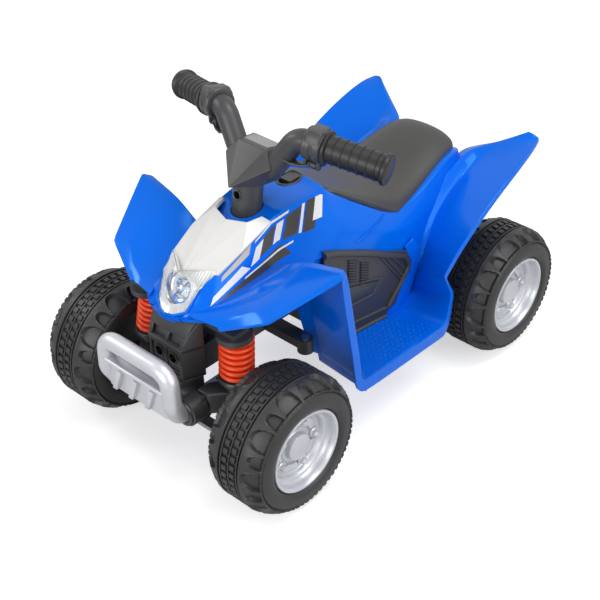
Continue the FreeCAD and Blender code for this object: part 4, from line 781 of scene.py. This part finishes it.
# seat: the border, just above the lip, is the seat's sharp lower edge with a corner beside the thigh
SADDLE = (
    (-13, [(40, 309), (42, 313), (36, 318), (22, 321), (0, 322)]),
    (5, [(51, 302), (52, 306), (46, 310), (28, 311), (0, 310)]),
    (35, [(60, 282), (61, 287), (53, 294), (33, 296), (0, 295)]),
    (67, [(67, 260), (68, 265.5), (61, 276), (39, 281.5), (0, 282)]),
    (95, [(73, 241), (74.5, 247), (67, 264), (43, 273), (0, 276)]),
    (101, [(74, 237), (75.5, 243), (68, 261), (44, 271.5), (0, 275)]),
    (107, [(73, 238), (74.5, 244), (68, 261), (44, 271.5), (0, 275)]),
    (148, [(69, 242), (70, 248), (67, 264), (45, 275), (0, 279)]),
    (194, [(63, 247), (65, 254), (63, 275), (44, 288), (0, 292)]),
    (227, [(58, 258), (60, 265), (58, 284), (41, 296), (0, 300)]),
    (248, [(53, 266), (55, 273), (52, 287), (36, 297), (0, 300)]),
    (260, [(45, 268), (47, 273), (44, 282), (30, 290), (0, 293)]),
)
seat = shell("seat_shell", net_of(SADDLE, 0, 1, 1, 0, 1), (True, True), {1: 1.0, 7: 1.0, 2: 0.3, 6: 0.3})
dress(thickened(smoothed(seat), WALL), SEAT, "root", "seat", angle=40)


# nose plate, lamp and hood stripes

def on_hood(x, y, off=0.0):
    """Place on the hood over a point seen from above, lifted off along its normal."""
    hit, normal, _, _ = hood.ray_cast(Vector((x, y, 500)) * MM, Vector((0, 0, -1)))
    return hit / MM + normal * off


def fan(name, half, faces):
    """Faceted sheet from half an outline and its faces, with the other half mirrored."""
    points, both = [], []
    for sign in (1, -1):
        start = len(points)
        points += [(sign * p[0], p[1], p[2]) for p in half]
        both += [tuple(start + i for i in (f if sign > 0 else f[::-1])) for f in faces]
    return faced(solid(name, points, both), LAMP_AHEAD + Vector((0, 0, 1)))


# corners of half the nose plate from above, each with its height over the hood
NOSE = ((0, -235, 2.5), (38, -206, 3.4), (41.5, -168, 4.8), (44, -117, 2.5), (34, -121, 5.0),
        (28, -140, 9.5),
        (0, -149, 9.0))
NOSE_FACES = [(0, 5, 6), (0, 1, 2), (0, 2, 5), (2, 3, 5), (3, 4, 5)]
shield = fan("nose_shield", [on_hood(*corner) for corner in NOSE], NOSE_FACES)
dress(rounded(thickened(shield, 4.5), 0.9, 3, 8), WHITE, "root", "nose_plate", angle=10)

LENS_MIDDLE = Vector((0, -254, 263))
LENS_FACES = [(0, 2, 1), (0, 6, 2), (6, 3, 2), (6, 4, 3), (6, 5, 4)]
cover = fan("lamp_cover", [p + LAMP_AHEAD * 1.5 for p in LENS_HALF + [LENS_MIDDLE]], LENS_FACES)
dress(rounded(thickened(cover, 1.6), 0.5, 2, 65), LENS, "root", "headlamp_lens", angle=66)
edge = [p + (p - LENS_MIDDLE).normalized() * 1.7 + LAMP_AHEAD * 0.4 for p in LENS_HALF[2:]]
edge = bend(edge + [Vector((-p.x, p.y, p.z)) for p in reversed(edge[:-1])], 5)
bead = piped("lamp_edge", edge, [0.6] + [2.4] * (len(edge) - 2) + [0.6], 12)
dress(bead, BLUE, "root", angle=60)
panes = fan("lamp_panes", [p - LAMP_AHEAD * 3.0 for p in LENS_HALF + [LENS_MIDDLE - LAMP_AHEAD * 10]],
            LENS_FACES)
carve(thickened(panes, 1.2), turned("pane_hole", rod(19.6, -25, 25), 40, lamp))
dress(panes, FLUTED, "root", angle=30)
bowl = turned("lamp_bowl", [(AXIS, -13), (20.6, -13), (20.6, 1.5), (19.8, 2.4), (18.8, 1), (17.6, -3.4),
                            (12.6, -4), (11.8, -5), (9, -9.4), (4, -10.4), (AXIS, -10.4)], 40, lamp)
# half ring on the bowl whose blue colour is a painted reflection of the hood
ring = turned("lamp_ring", [(18.4, -2.6), (13, -3.4), (12.8, -2.4), (15.6, -0.6), (18.4, -0.4),
                            (18.4, -2.6)], 40, lambda r, w, a: lamp(r, w, a * 0.5 - 0.9))
dress(ring, BLUE_REFLECTION_METAL, "root")
dress(bowl, MIRROR, "root", "headlamp_reflector")
bulb = turned("lamp_bulb", [(AXIS, -10.2), (3.6, -10.2), (3.6, -4), (4.4, -2), (4.2, 0.5), (2.6, 2.6),
                            (AXIS, 3.2)], 20, lamp)
dress(bulb, GLASS, "root", "headlamp_bulb")


FLANK = ((-235, (33, 266), (52, 241)), (-206, (38, 283), (56, 248)), (-117, (43.7, 323.5), (62.7, 264)),
         (-60, (45.6, 325.3), (66.5, 266.8)), (-30, (46.5, 323), (70.3, 264.9)), (12, (54, 297), (76, 252)))


def on_flank(y, t, off):
    """Place on the hood's left flank: t runs from its low crease to its top edge."""
    for (y0, top0, low0), (y1, top1, low1) in zip(FLANK, FLANK[1:]):
        if y0 <= y <= y1:
            s = (y - y0) / (y1 - y0)
            top = Vector(top0).lerp(Vector(top1), s)
            low = Vector(low0).lerp(Vector(low1), s)
    spot = low.lerp(top, t)
    out = Vector((top.y - low.y, low.x - top.x)).normalized()
    out = Vector((out.x, 0, out.y))
    start = Vector((spot.x, y, spot.y)) + out * 60
    hit, normal, _, _ = hood.ray_cast(start * MM, -out)
    return hit / MM + (normal if normal.dot(out) > 0 else -normal) * off


def on_side(y, z, off):
    """Place on the body's left side at this height."""
    hit = hood.ray_cast(Vector((300, y, z)) * MM, Vector((-1, 0, 0)))[0]
    return hit / MM + Vector((off, 0, 0))


for side, sign in SIDES:
    run = [on_side(76 - 70 * k / 12, 253.6 - 12.6 * k / 12, 0.8) for k in range(13)]
    dress(piped("flank_bead_" + side, run, [0.3] + [1.5] * 11 + [0.3], 10, sign), BLUE, "root", angle=60)

STRIPES = (
    ("dark_long_wedge", INK, [(-234, 0.08), (-230, 0.16), (-112, 0.36), (-100, 0.08)]),
    ("white_nose_wedge", FILM, [(-230, 0.24), (-222, 0.44), (-174, 0.58), (-164, 0.38)]),
    ("grey_upper_bar", ASH, [(-206, 0.64), (-202, 0.76), (-152, 0.88), (-160, 0.68)]),
    ("white_nose_slash", FILM, [(-163, 0.40), (-148, 0.70), (-134, 0.73), (-148, 0.42)]),
    ("brown_front_block", INK, [(-146, 0.44), (-134, 0.74), (-112, 0.78), (-126, 0.46)]),
    ("white_upper_line", FILM, [(-148, 0.80), (-146, 0.84), (-86, 0.93), (-89, 0.88)]),
    ("white_middle_slash", FILM, [(-124, 0.46), (-110, 0.79), (-98, 0.81), (-112, 0.46)]),
    ("brown_middle_block", INK, [(-108, 0.42), (-92, 0.83), (-66, 0.88), (-84, 0.40)]),
    ("white_thin_slash", FILM, [(-82, 0.38), (-64, 0.90), (-59, 0.90), (-77, 0.37)]),
    ("brown_rear_block", INK, [(-75, 0.34), (-55, 0.92), (-33, 0.93), (-56, 0.30)]),
    ("white_rear_slash", FILM, [(-55, 0.48), (-40, 0.93), (-27, 0.93), (-39, 0.48)]),
    ("white_low_line", FILM, [(-176, 0.24), (-175, 0.28), (-92, 0.31), (-94, 0.27)]),
)
for name, mat, corners in STRIPES:
    lift_off = 0.6 if mat is FILM else 0.35
    a, b, c, d = spots(*corners)
    for side, sign in SIDES:
        rows = []
        for i in range(17):
            across = [a.lerp(d, i / 16).lerp(b.lerp(c, i / 16), j / 6) for j in range(7)]
            rows.append([on_flank(p.x, p.y, lift_off) for p in across])
        film = faced(solid("%s_%s" % (name, side), *grid(rows), sign), Vector((sign, 0, 0)))
        dress(film, mat, "root", angle=60)


# grille, front beam, bumper, struts and springs

# front and foot of the grille block, and how far its front is set back
FACE_Y = -277
FOOT_Y = -239
SET_BACK = 8.5


def grille_put(x, y, z):
    """Draws the block's front in: narrower and further back than its foot at the body."""
    back = (y - FACE_Y) / (FOOT_Y - FACE_Y)
    return (x * (0.71 + 0.29 * back), y + SET_BACK * (1 - back), z)


yz = lambda u, v, h: grille_put(h, u, v)
OUTER = [(FACE_Y, 144.3), (FACE_Y, 190.3), (-263, 211), (FOOT_Y, 232), (FOOT_Y, 144.3)]
grille = cut("grille_core", [(-266, 146), (-266, 189), (-258, 209), (FOOT_Y, 228), (FOOT_Y, 146)], -41,
             41, yz)
parts = [cut("pillar", OUTER, x0, x1, yz, edge=1.4) for x0, x1 in ((-42, -34), (-3.5, 3.5), (34, 42))]
for low, high, front in ((144.3, 149, FACE_Y), (186, 193, -279)):
    parts.append(cut("ledge", rect(-42, 42, front, FOOT_Y), low, high, grille_put, edge=1.4))
parts.append(cut("brow", [(-268, 205), (-256, 224), (FOOT_Y, 236), (FOOT_Y, 205)], -41, 41, yz, edge=1.4))
hexes = []
for side, sign in SIDES:
    front = lambda r, w, a: (sign * 12.5 + 0.9 * r * cos(a), w + SET_BACK, 172.5 + r * sin(a))
    hexes.append(turned("hex_well", rod(7.6, -280, -262), 6, front))
    parts.append(turned("hex_rim", [(7.6, -270), (7.6, -276.6), (9.4, -276.6), (10, -275.6), (10, -270),
                                    (7.6, -270)], 6, front))
    parts.append(turned("hex_pin", [(AXIS, -266), (3.4, -266), (3.2, -270), (2.4, -271), (AXIS, -271)],
                        12, front))
face = cut("grille_face", rect(-35, 35, -274.6, -258), 160, 188, grille_put)
carve(face, *hexes)
slat = cut("louvre", [(-274.5, -1.4), (-268, -1.4), (-268, 1.4), (-274.5, 0.6)], -35, 35, yz)
slats = repeated("louvres", ROW, Part=slat, Count=2, First=(0, 0, 0.1530), Step=(0, 0, 0.0050),
                 Finish=BLACK)
dress(join(grille, face, slats, *parts), BLACK, "root", "grille_block")
WINDOW = [(-268.6, 194), (-258.5, 208.5), (-256, 206.5), (-266, 192)]
for side, sign in SIDES:
    dress(cut("grille_window_" + side, WINDOW, 6, 31, yz, sign, 0.8), BLACK, "root")

BEAM_Y = -266
BEAM_Z = 116.3
PEG_X = 50
KINGPIN_X = 79
FRONT_Y = AXLES[0][1]
beam = piped("beam_core", [(-64, BEAM_Y, BEAM_Z), (64, BEAM_Y, BEAM_Z)], 17.5, 28)
bits = [cut("spine", rect(-38, 38, FACE_Y, FOOT_Y), 100, 143, grille_put, 1, 3, 3)]
for side, sign in SIDES:
    peg = lambda r, w, a: (sign * PEG_X + r * cos(a), w, BEAM_Z + r * sin(a))
    post = lambda r, w, a: (sign * KINGPIN_X + r * cos(a), FRONT_Y + r * sin(a), w)
    bits.append(turned("peg_ring", [(12.5, -292), (17, -291), (17.5, -288), (19.5, -287), (20, -264),
                                    (12.5, -264), (12.5, -292)], 32, peg))
    bits.append(turned("boss", [(AXIS, 101), (16, 101), (17, 103), (17, 146), (16, 148.2),
                                (AXIS, 148.2)], 32, post))
    bits.append(cut("arm", [(46, -262), (66, -262), (88, -236), (88, -222), (60, -222), (46, -244)],
                    106, 138, upright, sign, 3, 3))
dress(join(beam, *bits), BLACK, "root", "front_beam")

hoop = bend([(PEG_X, BEAM_Y, BEAM_Z), (PEG_X, -298, 118), (60, -314, 150), (58, -314, 196.3),
             (-58, -314, 196.3), (-60, -314, 150), (-PEG_X, -298, 118), (-PEG_X, BEAM_Y, BEAM_Z)], 22, 9)
guard = piped("bumper_hoop", hoop, 12, 24)
plate = cut("bumper_plate", rect(-54, 54, -319, -309), 126, 171, upright, 1, 3, 3)
ledge = cut("bumper_ledge", rect(-54, 54, -325, -309), 166, 172, upright, 1, 2.4, 3)
rib = cut("rib", [(-13, -17), (-4, -17), (9, 17), (0, 17)], -325, -316, lambda u, v, h: (u, h, v), edge=1.6)
ribs = repeated("ribs", ROW, Part=rib, Count=3, First=(-0.030, 0, 0.147), Step=(0.030, 0, 0), Finish=SILVER)
dress(join(guard, plate, ledge, ribs), SILVER, "root", "bumper", angle=40)

# how far a strut leans in and back for each unit of height above its foot, and where its coil starts
LEAN_IN = 0.09
LEAN_BACK = 0.14
STRUT_FOOT = 148
COIL_FOOT = 158
STRUT = [(AXIS, 148.6), (23, 148.6), (24, 149.6), (24, 152.6), (23, 154.2), (14, 154.2), (13, 156),
         (13, 206),
         (14, 208), (20, 210), (20, 212), (AXIS, 212)]


def strut_spot(side_sign):
    """Maps radius, height and angle to a place on one side's leaning strut."""
    def put(r, w, a):
        x = side_sign * (KINGPIN_X - LEAN_IN * (w - STRUT_FOOT))
        return (x + r * cos(a), FRONT_Y + LEAN_BACK * (w - STRUT_FOOT) + r * sin(a), w)
    return put


for side, sign in SIDES:
    put = strut_spot(sign)
    foot = put(0, COIL_FOOT, 0)
    coil = repeated("spring_coil_" + side, COIL, Turns=6.5, Radius=20.4 * MM, Height=52 * MM,
                    Wire=2.7 * MM, Finish=SPRING)
    moved(coil, Matrix(((1, 0, -LEAN_IN * sign, foot[0] * MM), (0, 1, LEAN_BACK, foot[1] * MM),
                        (0, 0, 1, foot[2] * MM), (0, 0, 0, 1))))
    sleeve = turned("sleeve", [(13.2, 157), (15.6, 157), (15.6, 210), (13.2, 210), (13.2, 157)], 32, put)
    dress(join(coil, sleeve), SPRING, "root", "spring_" + side, angle=60)
    dress(turned("strut_tube_" + side, STRUT, 40, put), BLACK, "root", "strut_" + side)


# handlebar

stem = turned("steering_stem", [(AXIS, -14), (19, -14), (19.4, -12), (19.4, 6), (19, 34), (AXIS, 34)],
              48, on_stem)
bolt_spot = lambda r, w, a: steer(r * cos(a), -18.4 - w, 18 + r * sin(a))
carve(stem, turned("bolt_hole", rod(5.2, -9, 4), 24, bolt_spot))
collar = turned("collar", [(5.2, -8), (5.2, 1.6), (6.2, 2.2), (7.2, 1.4), (7.2, -6), (5.2, -8)], 24,
                bolt_spot)
dress(join(stem, collar), BLACK, "steering", "handlebar_stem")
# the sunk bolt's near-black colour is painted shade of its counterbore
bolt = turned("stem_bolt_head", [(AXIS, -12), (4.4, -12), (4.4, -6.4), (3.8, -5.8), (2.2, -5.8),
                                 (2.0, -8), (AXIS, -8)], 20, bolt_spot)
dress(bolt, SHADE_DARK_STEEL, "steering", "stem_bolt")

POD_POINTS = [(0, -36, 32), (23, 2, 80.5), (27, 33, 80), (38, -5, 61), (38, 28, 68), (24, -2, 34),
              (26, 30, 36)]
POD_FACES = [(3, 1, 0), (1, 3, 4, 2), (0, 5, 3), (5, 6, 4, 3)]


def pod_shape():
    right = [(-x, y, z) for x, y, z in POD_POINTS]
    points = [steer(*p) for p in POD_POINTS + right]
    n = len(POD_POINTS)
    faces = POD_FACES + [tuple(n + i for i in reversed(f)) for f in POD_FACES]
    faces += [(0, 1, n + 1), (1, 2, n + 2, n + 1), (2, 4, 6, n + 6, n + 4, n + 2), (0, n + 5, n + 6, 6, 5)]
    return points, faces


pod = solid("handlebar_pod_shell", *pod_shape())
dress(rounded(pod, 0.9, 3, 6), BLACK, "steering", "handlebar_pod", angle=8)
label_up = Vector(steer(0, 0, 1)) - Vector(steer(0, 0, 0))
label = [Vector(steer(x, y, 80)) for x, y in ((-20, 9), (20, 9), (23, 31), (-23, 31))]
dash = solid("dash_label", *grid([[p - label_up * 0.4 for p in label],
                                  [p + label_up * 1.2 for p in label]], True, (True, True)))
dress(rounded(dash, 0.5), GREY, "steering", "dash_plate")

# left half of the bar: its middle, the two bends and a point on the grip
BAR = [Vector(steer(*p)) for p in ((0, 12, 48), (24, 12, 50), (62, 15, 106), (172, 51, 95))]
root = BAR[2]
along = (BAR[3] - root).normalized()
down = Vector((-0.090, -0.168, -0.982))
down = (down - along * down.dot(along)).normalized()
ahead = along.cross(down)
path = bend(BAR[:3] + [root + along * 100], 22, 8)
bar_bits = [piped("bar_" + side, path, 14.5, 24, sign) for side, sign in SIDES]
dress(join(*bar_bits), BLACK, "steering", "handlebar")


def grip_place(side_sign):
    """Maps radius, run along the grip and angle to a place, for one side."""
    def put(r, w, a):
        p = root + along * w + ahead * r * cos(a) + down * r * sin(a)
        return (side_sign * p.x, p.y, p.z)
    return put


# profiles and outlines of the grip, the lever's collar with its ears and cap, and the lever
SLEEVE = [(14.6, 37), (20.5, 37), (22, 38.2), (22, 40.6), (20.5, 41.8), (17.6, 42.4), (17.2, 46),
          (17.2, 112),
          (18, 113), (19.6, 114.4), (20, 117), (19.4, 119), (17, 120.4), (8, 121), (AXIS, 121)]
COLLAR = [(14.6, 12), (19, 12), (20.5, 13.5), (20.5, 22), (18.8, 23), (18.8, 26), (20.5, 27), (20.5, 34),
          (19, 36), (14.6, 36)]
EAR = [(-8, 12), (8, 12), (6, 28), (3, 31), (-3, 31), (-6, 28)]
CAP = [(-14, -21), (14, -21), (19, -12), (19, 8), (-19, 8), (-19, -12)]
BLADE = [(-2.5, 22), (2.5, 22), (4.6, 25), (4.6, 28), (2.5, 31), (-2.5, 31), (-4.6, 28), (-4.6, 25)]
FLAP = [(22, 27), (12, 32), (-2, 32.6), (-12, 29.4), (-12, 27.8), (-2, 29.8), (12, 29.0), (22, 24.5)]
spot_of = lambda u, v, h: tuple(root + along * h + ahead * u + down * v)
tilted = lambda u, v, h: spot_of(h - 0.12 * (22 - u), v, u)
for side, sign in SIDES:
    put = grip_place(sign)
    grip = turned("grip_sleeve_" + side, SLEEVE, 40, put)
    ring = turned("ring", [(16.8, -1.3), (18.3, -0.5), (18.3, 0.5), (16.8, 1.3), (16.8, -1.3)], 24, about_z)
    rings = repeated("rings", ROW, Part=ring, Count=6, First=(0, 0, 0.051), Step=(0, 0, 0.0110),
                     Finish=GRIP)
    columns = [Vector((v.x * sign, v.y, v.z)) for v in (ahead, down, along)]
    middle = Vector((root.x * sign, root.y, root.z)) * MM
    moved(rings, Matrix([[c[i] for c in columns] + [middle[i]] for i in range(3)] + [[0, 0, 0, 1]]))
    dress(join(grip, rings), GRIP, "steering", "grip_" + side)
    collar = turned("collar_" + side, COLLAR, 36, put)
    bits = [cut("ear", EAR, low, high, spot_of, sign, 1.0) for low, high in ((14.0, 18.0), (31.0, 35.0))]
    bits.append(cut("cap_block", CAP, 15, 34, spot_of, sign, 2.0, 3))
    dress(join(collar, *bits), BLACK, "steering", "lever_collar_" + side)
    lever = cut("lever_blade_" + side, BLADE, 18.4, 30.6, spot_of, sign, 1.0)
    flap = cut("flap", FLAP, -7, 7, tilted, sign, 1.0)
    pin = piped("pin", [spot_of(0, 26, 13.0), spot_of(0, 26, 36.0)], 2.0, 12, sign)
    dress(join(lever, flap, pin), BLACK, "lever_" + side, "lever_" + side)


# switch, CAD nodes that stay, and the stage

def bezel_spot(r, w, a):
    """Place on the oval switch bezel, which follows the hood's surface."""
    x, y = 15.5 * r * cos(a), SWITCH_Y + 20.5 * r * sin(a)
    return (x, y, on_hood(x, y).z + w)


bezel = turned("switch_bezel", [(0.72, -12), (1.0, -12), (1.0, 0.4), (0.96, 1.5), (0.88, 1.8),
                                (0.80, 1.0), (0.78, -10), (0.72, -12)], 40, bezel_spot)
dress(bezel, BLACK, "root", "switch_housing")

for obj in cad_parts.values():
    if obj.hide_render:
        continue
    for entry in obj.material_slots:
        label = entry.material.name.split(".")[0]
        if label in SLOTS:
            entry.material = SLOTS[label][0]
    obj.data.set_sharp_from_angle(angle=radians(35))

FLOOR = 9000
floor = solid("studio_floor", [(x, y, 0) for x, y in rect(-FLOOR, FLOOR, -FLOOR, FLOOR)], [(0, 1, 2, 3)])
ground = bpy.data.materials.new("pale_studio_floor")
ground.use_nodes = True
tree = ground.node_tree
tree.nodes.clear()
spot = add(tree, "ShaderNodeTexCoord").outputs["Object"]
speck = add(tree, "ShaderNodeTexNoise", {"Scale": 9.0, "Detail": 3.0}, {"Vector": spot})
tint = add(tree, "ShaderNodeMix", {"data_type": "RGBA", 6: (0.80, 0.80, 0.80, 1), 7: (0.83, 0.83, 0.83, 1)},
           {0: speck.outputs["Fac"]})
matt = add(tree, "ShaderNodeBsdfDiffuse", {}, {"Color": tint.outputs[2]})
glow = add(tree, "ShaderNodeEmission", {"Color": (1, 1, 1, 1), "Strength": 0.55})
both = add(tree, "ShaderNodeAddShader", {}, {0: matt, 1: glow})
eye = add(tree, "ShaderNodeLightPath")
show = add(tree, "ShaderNodeMixShader", {}, {0: eye.outputs["Is Camera Ray"], 1: matt, 2: both})
add(tree, "ShaderNodeOutputMaterial", {}, {"Surface": show})
floor.data.materials.append(ground)

world = bpy.data.worlds.new("studio")
scene.world = world
world.use_nodes = True
tree = world.node_tree
tree.nodes.clear()
# the white backdrop is for the camera, and for what metal and glass show of it
rays = add(tree, "ShaderNodeLightPath").outputs
seen = rays["Is Camera Ray"]
for ray in ("Is Transmission Ray", "Is Glossy Ray"):
    seen = add(tree, "ShaderNodeMath", {"operation": "MAXIMUM"}, {0: seen, 1: rays[ray]})
sky = add(tree, "ShaderNodeBackground", {"Color": (1, 1, 1, 1), "Strength": 0.34})
backdrop = add(tree, "ShaderNodeBackground", {"Color": (1, 1, 1, 1), "Strength": 1.0})
mix = add(tree, "ShaderNodeMixShader", {}, {0: seen, 1: sky, 2: backdrop})
add(tree, "ShaderNodeOutputWorld", {}, {"Surface": mix})


def softbox(name, spot, wide, tall, power, aim=(0, 0, 0.15)):
    lamp_data = bpy.data.lights.new(name, "AREA")
    lamp_data.shape = "RECTANGLE"
    lamp_data.size = wide
    lamp_data.size_y = tall
    lamp_data.energy = power
    obj = bpy.data.objects.new(name, lamp_data)
    obj.location = spot
    obj.rotation_euler = (Vector(aim) - Vector(spot)).to_track_quat("-Z", "Y").to_euler()
    scene.collection.objects.link(obj)


softbox("overhead_softbox", (0.75, 0.25, 2.2), 1.1, 1.3, 20)
softbox("left_softbox", (2.0, 0.1, 1.1), 1.2, 1.3, 16)
softbox("front_softbox", (0.3, -2.2, 0.9), 1.4, 1.0, 20)
softbox("right_softbox", (-1.5, -0.85, 1.4), 0.55, 0.55, 7)

camera = bpy.data.objects.new("camera", bpy.data.cameras.new("camera"))
scene.collection.objects.link(camera)
scene.camera = camera
camera.data.lens = 73.48
camera.data.sensor_width = 36
camera.data.shift_x = -0.0493
camera.data.shift_y = 0.0853
camera.location = (0.9663, -1.0425, 1.1128)
camera.rotation_euler = (Vector((0, 0.042, 0)) - camera.location).to_track_quat("-Z", "Y").to_euler()
scene.view_settings.view_transform = "Standard"
